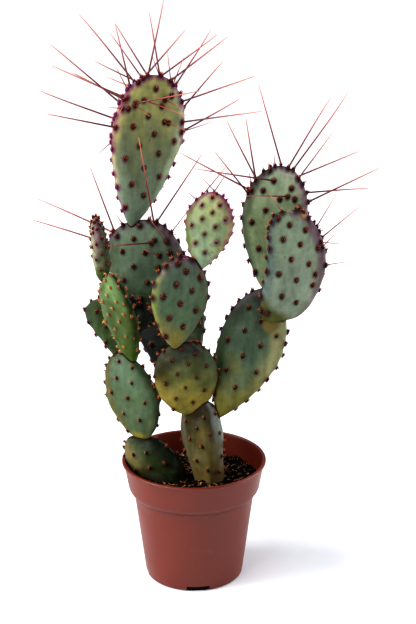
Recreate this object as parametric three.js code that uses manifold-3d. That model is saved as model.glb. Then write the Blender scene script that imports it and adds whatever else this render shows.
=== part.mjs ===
// A paddle cactus with fifteen pads in a round plastic nursery pot.
// Millimetres and degrees. X runs to the right, Y to the rear, Z up; Z = 0 is the underside of the pot.
import * as THREE from 'three';
import Module from 'manifold-3d';

const wasm = await Module();
wasm.setup();

// Clearance that neighbouring pieces keep where they touch.
const CLEARANCE = 0.3;

// Pot: a thin moulded wall with a wide collar and a rolled lip. Inside, the ledge under the collar lies higher
// by its rise, so that the wall is as thick there.
const POT = {
  height: 103.3,
  lipRadius: 60,
  lipDepth: 2.4,
  collarTopRadius: 58.4,
  collarBottomRadius: 54.3,
  collarBottomHeight: 77.7,
  bodyTopRadius: 50.2,
  bodyTopHeight: 74.6,
  baseRadius: 40.5,
  baseRounding: 3,
  ledgeRounding: 1,
  ledgeRise: 0.7,
  lipRounding: 0.8,
  wall: 1.3,
  floor: 1.6,
  segments: 48,
};
const DRAIN_NOTCH = { count: 4, width: 19, height: 4.5, reach: 8, past: 6, firstAt: 5 };
const DRAIN_HOLE = { count: 4, radius: 4, ring: 20, sides: 12, firstAt: 45 };

// A rounding's middle stands in from its corner by this share of its radius.
const ROUNDING_MIDDLE = 1 - Math.SQRT1_2;

// Soil: fills the pot to a rough surface below the rim. The drop is how far the surface falls at the wall,
// and the facet gap keeps its flat sides clear of the round wall.
const SOIL = { surface: 86.5, relief: 0.9, drop: 0.6, facetGap: 0.25, rings: 5, spokes: 36, seed: 31 };

// Outline and section of every pad.
const SECTION_POWER = 2.6;
const THICKNESS_SHIFT = 0.8;
const THICKNESS_FULLNESS = 0.4;
const JOINT_SINK = 3;
const PAD_STEPS = 12;
const PAD_SIDES = 12;

// The skin's slope is read this far to each side of a point, on a pad made larger by the margin.
const SLOPE_STEP = 0.4;
const SLOPE_MARGIN = 1;

// What the depth in a pad is beyond its ends: more than its skin's 1.
const DEPTH_OUTSIDE = 2;

// Areoles: small raised cushions over both faces and along the rim, closer together toward the tip of a pad.
// The spacings and the spread of the rim's row hold where a pad names none. The clear values keep them off the
// other pads, the pot's wall and its rim.
const AREOLE = {
  spacing: 14.5, rimSpacing: 9.5, rimSpread: 30, faceReach: 0.8, first: 0.07, samples: 400,
  crowding: 1.2, crowdingPower: 4,
  radius: 1.4, height: 2.4, sunk: 1.5, sides: 3, lift: 0.3,
  clear: 1.8, clearOfWall: 1, clearOfRim: 2, lowest: 92,
};
const GOLDEN_SHARE = 0.6180339887;

// Long spines: tapering needles rooted in an areole.
const SPINE = { radius: 0.6, sunk: 3.5, sides: 3 };

// A spike that leans less than this from upright takes its sides from the X axis.
const NEARLY_UPRIGHT = 0.1;

const ROUGHNESS = { pot: 0.55, soil: 0.95, skin: 0.6 };
const COLOURS = {
  pot: '#a3553f',
  soil: '#2b1f17',
  stem: '#8c8a4e',
  young: '#9aa75f',
  blue: '#6f8468',
  dark: '#52633f',
};

// Each pad grows on its parent at an angle round the rim (0 is the tip, + to the right) and up the face
// (+ to the front). It leans by heading (+ to the right) and toward (+ to the front) and is turned about
// its own length (+ shows its left edge). Spines are [rim, face, length, heading, toward].
const PADS = [
  {
    name: 'pad_left_half_buried', root: [-5.5, -6, 71], heading: -44, toward: -4, turn: -6,
    length: 71, width: 40, thick: 20, widest: 0.56, fullness: 0.61, spacing: 13, colour: 'dark',
  },
  {
    name: 'pad_left_lower', on: 'pad_left_half_buried', rim: 39, face: 0, heading: -16, toward: 0, turn: -20,
    length: 80, width: 44, thick: 15, widest: 0.51, fullness: 0.55, bow: 1.5, spacing: 14, colour: 'blue',
  },
  {
    name: 'pad_left_rear', on: 'pad_left_lower', rim: -11, face: -38, heading: 4.5, toward: -21.5, turn: 6,
    length: 50, width: 54, thick: 10, widest: 0.71, fullness: 0.5, spacing: 13, colour: 'dark',
  },
  {
    name: 'pad_left_front', on: 'pad_left_lower', rim: 38, face: -10, heading: -12, toward: 16, turn: -40,
    length: 90, width: 33, thick: 13, widest: 0.57, fullness: 0.65, bow: -2.5,
    spacing: 10, rimSpacing: 6, rimSpread: 80, colour: 'young',
  },
  {
    name: 'pad_left_top', on: 'pad_left_front', rim: -32, face: 0, heading: -6, toward: 2, turn: -82,
    length: 54, width: 30, thick: 12.5, widest: 0.74, fullness: 0.6,
    spacing: 8.5, rimSpacing: 4.5, rimSpread: 100, colour: 'dark',
  },
  {
    name: 'stem_main', root: [26, -8, 42], heading: -10.3, toward: 0, turn: -35,
    length: 119, width: 38.5, thick: 22, widest: 0.78, fullness: 0.32, bow: -6,
    spacing: 14, rimSpacing: 11, colour: 'stem',
  },
  {
    name: 'pad_front_lower', on: 'stem_main', rim: -30, face: 64, heading: -3, toward: 20, turn: 4,
    length: 76, width: 51, thick: 15, widest: 0.55, fullness: 0.42, spacing: 13.5, colour: 'stem',
  },
  {
    name: 'pad_front_middle', on: 'pad_front_lower', rim: -13, face: 7, heading: 6, toward: 6, turn: 14,
    length: 81, width: 45, thick: 14, widest: 0.57, fullness: 0.57, spacing: 13.5, colour: 'blue',
    spines: [[20, 30, 8, -76, 25]],
  },
  {
    name: 'pad_front_top', on: 'pad_front_middle', rim: 42.5, face: -17, heading: 11, toward: 2, turn: -14,
    length: 65, width: 37, thick: 12, widest: 0.61, fullness: 0.55, spacing: 12.5, rimSpacing: 7.5, colour: 'young',
    spines: [[-30, 0, 33, 38, 0], [8, 60, 21, -37, 25], [-44, 20, 11, -43, 25]],
  },
  {
    name: 'pad_right_lower', on: 'stem_main', rim: 41, face: -34, heading: 21.7, toward: -8, turn: -18,
    length: 116.5, width: 54, thick: 17, widest: 0.6, fullness: 0.59, bow: 2.5, spacing: 17, colour: 'blue',
  },
  {
    name: 'pad_right_rear', on: 'pad_right_lower', rim: -11.5, face: -44, heading: 7, toward: -6, turn: -10,
    length: 103, width: 52, thick: 14, widest: 0.62, fullness: 0.47, bow: -1.5, colour: 'blue',
    spines: [
      [-2, 0, 68, -16, 0], [10, 40, 68, 28, 10], [16, 0, 78, 39, -25], [32, 30, 45, 35, 0],
      [-42, 0, 52, -28, -15], [-44, 20, 60, -9, 18], [-12, 20, 12, -7, 25], [-40, 80, 70, -74, 25],
      [-56, 0, 63, -64, -12], [-60, 20, 50, -35, 18], [-56, 30, 19, -8, 15], [50, 0, 50, 86, 0],
      [60, 0, 65, 67, -12], [56, 75, 37, -82, 25], [58, 60, 12, 148, 10],
    ],
  },
  {
    name: 'pad_right_front', on: 'pad_right_lower', rim: 46, face: 42, heading: 2, toward: 12, turn: 18,
    length: 100, width: 50, thick: 14, widest: 0.42, fullness: 0.29, bow: 10.5, spacing: 16.5, colour: 'blue',
    spines: [
      [-4, 20, 25, -31, 25], [50, 0, 32, 29, 0], [64, 0, 40, 49, 0], [72, 30, 22, 34, 25],
      [92, 20, 21, 72, 25], [66, 30, 19, 88, 25], [98, 60, 8, -156, 25],
    ],
  },
  {
    name: 'pad_rear_lower', on: 'stem_main', rim: -27.5, face: -32, heading: -15.4, toward: -30, turn: -18.5,
    length: 91, width: 62, thick: 15, widest: 0.8, fullness: 0.32, spacing: 17, colour: 'dark',
  },
  {
    name: 'pad_rear_middle', on: 'pad_rear_lower', rim: -51.5, face: 86, heading: -14, toward: 1, turn: -8,
    length: 95, width: 64, thick: 15, widest: 0.62, fullness: 0.4, spacing: 15.5, colour: 'dark',
    spines: [
      [26, 0, 67, 35, -15], [26, 30, 90, -7, 25], [-28, 0, 57, -19, 0], [-30, 0, 74, -73, -25],
      [-46, 0, 68, -76, -12], [-14, 30, 14, -27, 25], [48, 0, 29, 36, 0], [56, 45, 34, -30, 25],
      [54, 75, 44, -87, 25], [70, 70, 16, -59, 25],
    ],
  },
  {
    name: 'pad_top', on: 'pad_rear_middle', rim: -9.5, face: 77, heading: 9.9, toward: 3, turn: 20,
    length: 128, width: 59.5, thick: 14, widest: 0.65, fullness: 0.44, bow: 1.3,
    spacing: 15.5, colour: 'young',
    spines: [
      [-52, 0, 71, -49, 0], [-46, 0, 67, -72, -25], [-48, 20, 51, -56, 25], [-56, 30, 12, -79, 25],
      [-66, 0, 63, -69, 0], [-72, 20, 60, -72, 25], [-34, 0, 60, -10, 25], [-28, -20, 70, -42, -20],
      [-26, 30, 42, -58, 25], [-38, 0, 21, -26, 0], [-18, -20, 45, -39, -25], [-10, 0, 48, -31, 0],
      [-10, 20, 66, 12, 15], [4, 0, 50, -9, 0], [-18, 30, 60, 38, 25], [4, 30, 20, -17, 25],
      [6, 20, 58, 51, 15], [20, 0, 24, -6, 0], [20, 30, 67, 48, 25], [28, 0, 52, 34, -15],
      [26, 30, 29, 20, 25], [46, 20, 70, 65, 25], [52, 0, 50, 44, -25], [64, 30, 71, 76, 25],
      [72, 0, 52, 60, 0], [72, 30, 31, 65, 25], [-50, 60, 58, 73, 25], [-46, 75, 38, 105, 25],
      [-52, 60, 15, 121, 25], [44, 75, 19, 114, 25], [64, 75, 20, 106, 25], [-84, 0, 15, -127, 25],
      [-46, 30, 14, -152, 25],
    ],
  },
];
const MIRRORED_FROM = 45;

// A number from 0 to 1 for each call, the same on every run: a linear congruential generator.
const GENERATOR = { multiplier: 1664525, increment: 1013904223, range: 2 ** 32 };

function seededNumbers(seed) {
  let state = seed;
  return () => {
    state = (Math.imul(state, GENERATOR.multiplier) + GENERATOR.increment) >>> 0;
    return state / GENERATOR.range;
  };
}

const radians = THREE.MathUtils.degToRad;

function signedPower(value, power) {
  return Math.sign(value) * Math.abs(value) ** power;
}

// Directions of a pad: side runs along its width, up along its length and front out of its front face.
function directions(heading, toward, turn) {
  const h = radians(heading);
  const t = radians(toward);
  const up = new THREE.Vector3(Math.sin(h) * Math.cos(t), -Math.sin(t), Math.cos(h) * Math.cos(t));
  const flatSide = new THREE.Vector3(0, 1, 0).cross(up).normalize();
  const flatFront = flatSide.clone().cross(up);
  const k = radians(turn);
  const side = flatSide.clone().multiplyScalar(Math.cos(k)).addScaledVector(flatFront, -Math.sin(k));
  const front = flatFront.clone().multiplyScalar(Math.cos(k)).addScaledVector(flatSide, Math.sin(k));
  return { side, up, front };
}

// Half the width of a pad at a share of its length, 0 at the joint and 1 at the tip.
function halfWidth(pad, share) {
  const power = Math.log(0.5) / Math.log(pad.widest);
  return (pad.width / 2) * Math.sin(Math.PI * share ** power) ** pad.fullness;
}

function halfThickness(pad, share) {
  return (pad.thick / 2) * Math.sin(Math.PI * share ** THICKNESS_SHIFT) ** THICKNESS_FULLNESS;
}

// A point of the skin: share along the length and angle round the section, 0 at the right edge.
function skinPoint(pad, share, angle) {
  const inside = Math.min(Math.max(share, 0), 1);
  const power = 2 / SECTION_POWER;
  const across = halfWidth(pad, inside) * signedPower(Math.cos(angle), power);
  const out = halfThickness(pad, inside) * signedPower(Math.sin(angle), power);
  const shifted = across + (pad.bow ?? 0) * Math.sin(Math.PI * inside);
  return pad.base.clone()
    .addScaledVector(pad.side, shifted)
    .addScaledVector(pad.up, pad.length * inside)
    .addScaledVector(pad.front, out);
}

// The same, given as an angle round the rim from the tip and an angle up the face.
function rimPoint(pad, rim, face) {
  const share = (1 + Math.cos(radians(rim))) / 2;
  const angle = rim >= 0 ? radians(face) : Math.PI - radians(face);
  return skinPoint(pad, share, angle);
}

// Less than 1 inside a pad that is made larger all round by margin, more than 1 outside it.
function depthIn(pad, point, margin) {
  const offset = point.clone().sub(pad.base);
  const along = offset.dot(pad.up);
  const share = (along + margin) / (pad.length + 2 * margin);
  if (share <= 0 || share >= 1) {
    return DEPTH_OUTSIDE;
  }
  const across = offset.dot(pad.side) - (pad.bow ?? 0) * Math.sin(Math.PI * share);
  const out = offset.dot(pad.front);
  const wide = Math.abs(across) / (halfWidth(pad, share) + margin);
  const deep = Math.abs(out) / (halfThickness(pad, share) + margin);
  return wide ** SECTION_POWER + deep ** SECTION_POWER;
}

// Outward direction of the skin at a point on it.
function outward(pad, point) {
  const slope = ['side', 'up', 'front'].map((axis) => {
    const ahead = depthIn(pad, point.clone().addScaledVector(pad[axis], SLOPE_STEP), SLOPE_MARGIN);
    const behind = depthIn(pad, point.clone().addScaledVector(pad[axis], -SLOPE_STEP), SLOPE_MARGIN);
    return ahead - behind;
  });
  return new THREE.Vector3()
    .addScaledVector(pad.side, slope[0])
    .addScaledVector(pad.up, slope[1])
    .addScaledVector(pad.front, slope[2])
    .normalize();
}

// A closed solid from points and triangles.
function solidFrom(points, triangles) {
  const vertProperties = new Float32Array(points.flatMap((point) => [point.x, point.y, point.z]));
  const triVerts = new Uint32Array(triangles.flat());
  return new wasm.Manifold(new wasm.Mesh({ numProp: 3, vertProperties, triVerts }));
}

// A closed skin through rings of points with a point at each end.
function ringedSolid(first, rings, last) {
  const sides = rings[0].length;
  const points = [first, ...rings.flat(), last];
  const end = points.length - 1;
  const triangles = [];
  for (let i = 0; i < sides; i += 1) {
    const j = (i + 1) % sides;
    triangles.push([0, 1 + j, 1 + i]);
    for (let row = 0; row < rings.length - 1; row += 1) {
      const low = 1 + row * sides;
      const high = low + sides;
      triangles.push([low + i, low + j, high + j], [low + i, high + j, high + i]);
    }
    const top = 1 + (rings.length - 1) * sides;
    triangles.push([top + i, top + j, end]);
  }
  return solidFrom(points, triangles);
}

// The smooth body of a pad, made larger all round by margin.
function padBody(pad, margin) {
  const grown = {
    ...pad,
    length: pad.length + 2 * margin,
    width: pad.width + 2 * margin,
    thick: pad.thick + 2 * margin,
    base: pad.base.clone().addScaledVector(pad.up, -margin),
  };
  const rings = [];
  for (let step = 1; step < PAD_STEPS; step += 1) {
    const share = (1 - Math.cos((Math.PI * step) / PAD_STEPS)) / 2;
    const ring = [];
    for (let i = 0; i < PAD_SIDES; i += 1) {
      ring.push(skinPoint(grown, share, (2 * Math.PI * i) / PAD_SIDES));
    }
    rings.push(ring.reverse());
  }
  return ringedSolid(skinPoint(grown, 0, 0), rings, skinPoint(grown, 1, 0));
}

// A pyramid with its foot sunk behind a point and its tip ahead of it.
function spike(point, direction, radius, sunk, height, sides) {
  const across = new THREE.Vector3(0, 0, 1).cross(direction);
  if (across.length() < NEARLY_UPRIGHT) {
    across.set(1, 0, 0);
  }
  across.normalize();
  const other = direction.clone().cross(across);
  const foot = point.clone().addScaledVector(direction, -sunk);
  const ring = [];
  for (let i = 0; i < sides; i += 1) {
    const angle = (2 * Math.PI * i) / sides;
    ring.push(foot.clone()
      .addScaledVector(across, radius * Math.cos(angle))
      .addScaledVector(other, radius * Math.sin(angle)));
  }
  const tip = point.clone().addScaledVector(direction, height);
  const points = [...ring, tip];
  const triangles = [];
  for (let i = 0; i < sides; i += 1) {
    triangles.push([i, (i + 1) % sides, sides]);
    if (i > 1) {
      triangles.push([0, i, i - 1]);
    }
  }
  return solidFrom(points, triangles);
}

// Count shares of the length that split the sum of the weights evenly. Each weight belongs to a sampled share.
function evenShares(shares, weights, count) {
  const whole = weights.reduce((sum, weight) => sum + weight, 0);
  const found = [];
  let passed = 0;
  let i = 0;
  for (let place = 0; place < count; place += 1) {
    const wanted = (whole * (place + 0.5)) / count;
    while (passed + weights[i] < wanted) {
      passed += weights[i];
      i += 1;
    }
    const rest = (wanted - passed) / weights[i];
    found.push(shares[i] + (rest - 0.5) * (shares[1] - shares[0]));
  }
  return found;
}

// Share of the length and angle round the section of each areole of a pad. On a face they climb with the skin
// that is passed and jump across it by the golden ratio. On the rim they stand at even steps of its length and
// jump up and down its edge by the golden ratio. Both rows crowd toward the tip.
function areolePlaces(pad) {
  const step = (1 - AREOLE.first) / AREOLE.samples;
  const shares = Array.from({ length: AREOLE.samples }, (_, i) => AREOLE.first + (i + 0.5) * step);
  const crowd = shares.map((share) => 1 + AREOLE.crowding * share ** AREOLE.crowdingPower);
  const widths = shares.map((share) => halfWidth(pad, share));
  const edges = shares.map((share) => {
    const slope = halfWidth(pad, share + step / 2) - halfWidth(pad, share - step / 2);
    return Math.hypot(slope, step * pad.length);
  });
  const area = 2 * AREOLE.faceReach * widths.reduce((sum, width) => sum + width, 0) * step * pad.length;
  const faceCount = Math.round(area / (pad.spacing ?? AREOLE.spacing) ** 2);
  const faceShares = evenShares(shares, widths.map((width, i) => width * crowd[i]), faceCount);
  const places = [];
  for (const [phase, sign] of [[0, 1], [0.5, -1]]) {
    faceShares.forEach((share, i) => {
      const across = AREOLE.faceReach * (2 * ((i * GOLDEN_SHARE + phase) % 1) - 1);
      places.push([share, sign * Math.acos(signedPower(across, SECTION_POWER / 2))]);
    });
  }
  const rimLength = edges.reduce((sum, edge) => sum + edge, 0);
  const rimCount = Math.round(rimLength / (pad.rimSpacing ?? AREOLE.rimSpacing));
  const rimShares = evenShares(shares, edges.map((edge, i) => edge * crowd[i]), rimCount);
  const spread = radians(pad.rimSpread ?? AREOLE.rimSpread);
  const jumps = rimShares.map((_, i) => (((i * GOLDEN_SHARE) % 1) - 0.5) * spread);
  rimShares.forEach((share, i) => {
    places.push([share, jumps[i]], [share, Math.PI + jumps[rimCount - 1 - i]]);
  });
  return places;
}

const INNER_BODY_TOP = POT.bodyTopHeight + POT.ledgeRise;
const INNER_COLLAR_BOTTOM = POT.collarBottomHeight + POT.ledgeRise;

// Radius inside the pot wall at a height.
function potInnerRadius(height) {
  const heights = [0, INNER_BODY_TOP, INNER_COLLAR_BOTTOM, POT.height];
  const radii = [
    POT.baseRadius - POT.wall, POT.bodyTopRadius - POT.wall,
    POT.collarBottomRadius - POT.wall, POT.collarTopRadius - POT.wall,
  ];
  let i = 0;
  while (i < heights.length - 2 && height > heights[i + 1]) {
    i += 1;
  }
  const share = (height - heights[i]) / (heights[i + 1] - heights[i]);
  return radii[i] + share * (radii[i + 1] - radii[i]);
}

function isClearOfPot(point) {
  const inner = potInnerRadius(Math.min(point.z, POT.height));
  const nearWall = Math.hypot(point.x, point.y) > inner - AREOLE.clearOfWall;
  return !(nearWall && point.z < POT.height + AREOLE.clearOfRim);
}

function growPads() {
  const placed = new Map();
  for (const pad of PADS) {
    Object.assign(pad, directions(pad.heading, pad.toward, pad.turn));
    if (pad.on) {
      const joint = rimPoint(placed.get(pad.on), pad.rim, pad.face);
      pad.base = joint.addScaledVector(pad.up, -JOINT_SINK);
    } else {
      pad.base = new THREE.Vector3(...pad.root);
    }
    placed.set(pad.name, pad);
  }
  return placed;
}

// Front spines with a mirror image on the far face, which has the same growth.
function allSpines(pad) {
  const listed = pad.spines ?? [];
  const mirrored = listed
    .filter(([, face]) => face >= MIRRORED_FROM)
    .map(([rim, face, length, heading, toward]) => [-rim, -face, length, -heading, -toward]);
  return [...listed, ...mirrored];
}

function padSolid(pad, placed) {
  const others = PADS.filter((other) => other !== pad);
  const isFree = (point) => point.z > AREOLE.lowest && isClearOfPot(point)
    && others.every((other) => depthIn(other, point, AREOLE.clear) > 1);
  const pieces = [padBody(pad, 0)];
  const addAreole = (point) => {
    const direction = outward(pad, point).addScaledVector(pad.up, AREOLE.lift).normalize();
    const tip = point.clone().addScaledVector(direction, AREOLE.height);
    if (isFree(point) && isFree(tip)) {
      pieces.push(spike(point, direction, AREOLE.radius, AREOLE.sunk, AREOLE.height, AREOLE.sides));
    }
  };
  areolePlaces(pad).forEach(([along, angle]) => addAreole(skinPoint(pad, along, angle)));
  for (const [rim, face, length, heading, toward] of allSpines(pad)) {
    const point = rimPoint(pad, rim, face);
    const direction = directions(heading, toward, 0).up;
    addAreole(point);
    pieces.push(spike(point, direction, SPINE.radius, SPINE.sunk, length, SPINE.sides));
  }
  const whole = wasm.Manifold.union(pieces);
  return pad.on ? whole.subtract(padBody(placed.get(pad.on), CLEARANCE)) : whole;
}

function potSolid() {
  const corner = POT.baseRounding * ROUNDING_MIDDLE;
  const outline = [
    [0, 0],
    [POT.baseRadius - POT.baseRounding, 0],
    [POT.baseRadius - corner, corner],
    [POT.baseRadius, POT.baseRounding],
    [POT.bodyTopRadius, POT.bodyTopHeight],
    [POT.bodyTopRadius + POT.ledgeRounding, POT.bodyTopHeight + POT.ledgeRounding],
    [POT.collarBottomRadius - POT.ledgeRounding / 2, POT.collarBottomHeight - POT.ledgeRounding],
    [POT.collarBottomRadius, POT.collarBottomHeight],
    [POT.collarTopRadius, POT.height - POT.lipDepth],
    [POT.lipRadius, POT.height - POT.lipDepth + POT.lipRounding],
    [POT.lipRadius, POT.height - POT.lipRounding],
    [POT.lipRadius - POT.lipRounding, POT.height],
    [potInnerRadius(POT.height) + POT.lipRounding / 2, POT.height],
    [potInnerRadius(POT.height), POT.height - POT.lipRounding],
    [potInnerRadius(INNER_COLLAR_BOTTOM), INNER_COLLAR_BOTTOM],
    [potInnerRadius(INNER_BODY_TOP), INNER_BODY_TOP],
    [potInnerRadius(POT.floor), POT.floor],
    [0, POT.floor],
  ];
  let pot = new wasm.CrossSection([outline], 'Positive').revolve(POT.segments);
  const notchSize = [DRAIN_NOTCH.width, DRAIN_NOTCH.reach + DRAIN_NOTCH.past, DRAIN_NOTCH.height * 2];
  const notchAt = POT.baseRadius + (DRAIN_NOTCH.past - DRAIN_NOTCH.reach) / 2;
  for (let i = 0; i < DRAIN_NOTCH.count; i += 1) {
    const notch = wasm.Manifold.cube(notchSize, true)
      .translate([0, -notchAt, 0])
      .rotate([0, 0, DRAIN_NOTCH.firstAt + (360 * i) / DRAIN_NOTCH.count]);
    pot = pot.subtract(notch);
  }
  const { radius, ring, sides, firstAt } = DRAIN_HOLE;
  for (let i = 0; i < DRAIN_HOLE.count; i += 1) {
    const hole = wasm.Manifold.cylinder(POT.floor * 4, radius, radius, sides, true)
      .translate([ring, 0, 0])
      .rotate([0, 0, firstAt + (360 * i) / DRAIN_HOLE.count]);
    pot = pot.subtract(hole);
  }
  return pot;
}

function soilSolid(placed) {
  const random = seededNumbers(SOIL.seed);
  const wall = [
    POT.floor + CLEARANCE, INNER_BODY_TOP, INNER_COLLAR_BOTTOM, SOIL.surface - SOIL.drop,
  ].map((height) => [height, potInnerRadius(height) - CLEARANCE - SOIL.facetGap]);
  const spokeAt = (radius, height, i) => {
    const angle = (2 * Math.PI * i) / SOIL.spokes;
    return new THREE.Vector3(radius * Math.cos(angle), radius * Math.sin(angle), height);
  };
  const rings = wall.map(([height, radius]) => {
    const ring = [];
    for (let i = 0; i < SOIL.spokes; i += 1) {
      ring.push(spokeAt(radius, height, i));
    }
    return ring;
  });
  const edge = wall[wall.length - 1][1];
  for (let row = 1; row < SOIL.rings; row += 1) {
    const ring = [];
    for (let i = 0; i < SOIL.spokes; i += 1) {
      const height = SOIL.surface + SOIL.relief * (2 * random() - 1);
      ring.push(spokeAt(edge * (1 - row / SOIL.rings), height, i));
    }
    rings.push(ring);
  }
  const bottom = new THREE.Vector3(0, 0, wall[0][0]);
  const top = new THREE.Vector3(0, 0, SOIL.surface);
  let soil = ringedSolid(bottom, rings, top);
  for (const pad of PADS.filter((each) => !each.on)) {
    soil = soil.subtract(padBody(placed.get(pad.name), CLEARANCE));
  }
  return soil;
}

function meshFrom(name, solid, colour, roughness) {
  const data = solid.getMesh();
  const geometry = new THREE.BufferGeometry();
  geometry.setAttribute('position', new THREE.BufferAttribute(new Float32Array(data.vertProperties), 3));
  geometry.setIndex(new THREE.BufferAttribute(new Uint32Array(data.triVerts), 1));
  const material = new THREE.MeshStandardMaterial({ color: colour, roughness, metalness: 0, flatShading: true });
  const mesh = new THREE.Mesh(geometry, material);
  mesh.name = name;
  return mesh;
}

const cactus = new THREE.Group();
cactus.name = 'potted_paddle_cactus';
const placed = growPads();
cactus.add(meshFrom('pot', potSolid(), COLOURS.pot, ROUGHNESS.pot));
cactus.add(meshFrom('soil', soilSolid(placed), COLOURS.soil, ROUGHNESS.soil));
for (const pad of PADS) {
  cactus.add(meshFrom(pad.name, padSolid(pad, placed), COLOURS[pad.colour], ROUGHNESS.skin));
}

export default cactus;
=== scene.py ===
"""A paddle cactus with fifteen pads in a round plastic nursery pot, on a pale studio floor.

Shapes are worked out in millimetres and degrees, as the solids were, and go into the meshes in metres.
X runs to the right, Y to the rear, Z up, and the pot stands on Z = 0.
"""
import math
from dataclasses import dataclass
from functools import partial

import bpy
import numpy as np
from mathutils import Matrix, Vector


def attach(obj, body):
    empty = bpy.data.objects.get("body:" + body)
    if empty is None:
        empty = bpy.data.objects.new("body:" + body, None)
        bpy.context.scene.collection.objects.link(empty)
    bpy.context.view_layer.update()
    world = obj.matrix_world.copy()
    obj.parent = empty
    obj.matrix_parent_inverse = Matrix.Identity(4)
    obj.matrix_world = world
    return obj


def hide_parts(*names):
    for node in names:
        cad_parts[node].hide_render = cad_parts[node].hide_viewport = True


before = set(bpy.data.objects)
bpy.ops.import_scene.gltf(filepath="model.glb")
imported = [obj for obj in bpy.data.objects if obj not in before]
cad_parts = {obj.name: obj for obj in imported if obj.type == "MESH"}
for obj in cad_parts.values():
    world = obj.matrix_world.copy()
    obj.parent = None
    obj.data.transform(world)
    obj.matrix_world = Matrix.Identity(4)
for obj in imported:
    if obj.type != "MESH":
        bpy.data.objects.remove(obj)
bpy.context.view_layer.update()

MILLIMETRE = 0.001
BODY = "root"

# Uneven things draw their random numbers from this seed plus a number of their own.
SEED = 31
# Ripples are sums of this many waves, each denser than asked by a factor from this range.
WAVES = 10
WAVE_SPREAD = (0.7, 1.5)

# The pot, with the sizes of its solid.
POT_HEIGHT = 103.3
LIP_RADIUS = 60
LIP_DEPTH = 2.4
LIP_SLOPE = 0.4
COLLAR_TOP_RADIUS = 58.4
COLLAR_BOTTOM_RADIUS = 54.3
COLLAR_BOTTOM_HEIGHT = 77.7
WALL_TOP_RADIUS = 50.2
WALL_TOP_HEIGHT = 74.6
LEDGE_RISE = 0.7
INNER_COLLAR_BOTTOM = COLLAR_BOTTOM_HEIGHT + LEDGE_RISE
INNER_WALL_TOP = WALL_TOP_HEIGHT + LEDGE_RISE
BASE_RADIUS = 40.5
WALL = 1.3
FLOOR = 1.6
NOTCH_COUNT = 4
NOTCH_WIDTH = 19
NOTCH_HEIGHT = 4.5
NOTCH_REACH = 8
NOTCH_PAST = 6
NOTCH_FIRST_AT = 5
HOLE_COUNT = 4
HOLE_RADIUS = 4
HOLE_RING = 20
HOLE_FIRST_AT = 45

SOIL_SURFACE = 86.5

# Outline and section of every pad.
SECTION_POWER = 2.6
THICKNESS_SHIFT = 0.8
THICKNESS_FULLNESS = 0.4
JOINT_SINK = 3
VERY_END = 1e-4
SLOPE_STEP = 0.4
SLOPE_MARGIN = 1

# Areoles: felted cushions on a small swelling of the skin, each with a tuft of barbed bristles.
GOLDEN_SHARE = 0.6180339887
AREOLE_SAMPLES = 400
AREOLE_FIRST = 0.07
AREOLE_CROWDING = 1.2
CROWDING_POWER = 4
AREOLE_LIFT = 0.3
FACE_REACH = 0.8
CLEAR_OF_SPINES = 3.5
CLEAR_OF_PADS = 1.8
CLEAR_OF_WALL = 1
CLEAR_OF_LIP = 2
LOWEST_AREOLE = 92

SPINE_SUNK = 3.5
MIRRORED_FROM = 45


@dataclass
class Look:
    """The colours of a pad's skin as they show in the studio's light. Foot ends at the share reach of the
    length, which tilt moves from side to side. On most pads the foot's colour is the skin's own, and where it
    is near black it is painted shade. Left and right are colours and the shares of the half width that they
    reach in, as the camera sees them. They hold the skin's own colour and also painted light and shade: sides
    lighter where they face the light and darker where they lie in shade. Bruise is the colour of a blush along
    the rim, and blush its strength, its place and spread round the rim in degrees and its depth in millimetres.
    Halo is the strength of the ring round each areole, which takes halo_colour near the rim. Ribs are as high
    as given in millimetres, tuft is the size of the areoles and areoles their kind. The scar field is the rim,
    face and radius of a dried patch, or of a lighter patch of painted light that lifts a cast shadow."""

    flesh: str
    tip: str
    foot: str
    left: tuple
    right: tuple
    reach: float = 0.2
    tilt: float = 0
    bruise: str = "#3d2c38"
    blush: tuple = (0.3, 0, 60, 5)
    halo: float = 1
    halo_colour: str = "#37242f"
    ribs: float = 0
    tuft: float = 1
    areoles: str = "grown"
    scar_or_painted_light: tuple = ()
    scar_or_painted_light_colour: str = "#8a6a48"


@dataclass
class Pad:
    """One pad. It grows on another at an angle round that one's rim (0 is the tip, + to the right) and one up
    its face (+ to the front), or stands in the soil at a point. Lean is its heading (+ to the right), its lean
    toward the front, and its turn about its own length. Size is length, width and thickness. The outline is
    widest at a share of the length and the blunter the smaller fullness is, and bow moves its middle to the
    right. Spacing and rim_spacing are the steps from areole to areole, and rim_spread is how many degrees of
    the edge those on the rim take up. Spines are (rim, face, length, heading, toward)."""

    name: str
    at: tuple
    lean: tuple
    size: tuple
    widest: float
    fullness: float
    look: Look
    on: str = ""
    bow: float = 0
    spacing: float = 14.5
    rim_spacing: float = 9.5
    rim_spread: float = 30
    spines: tuple = ()


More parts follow.
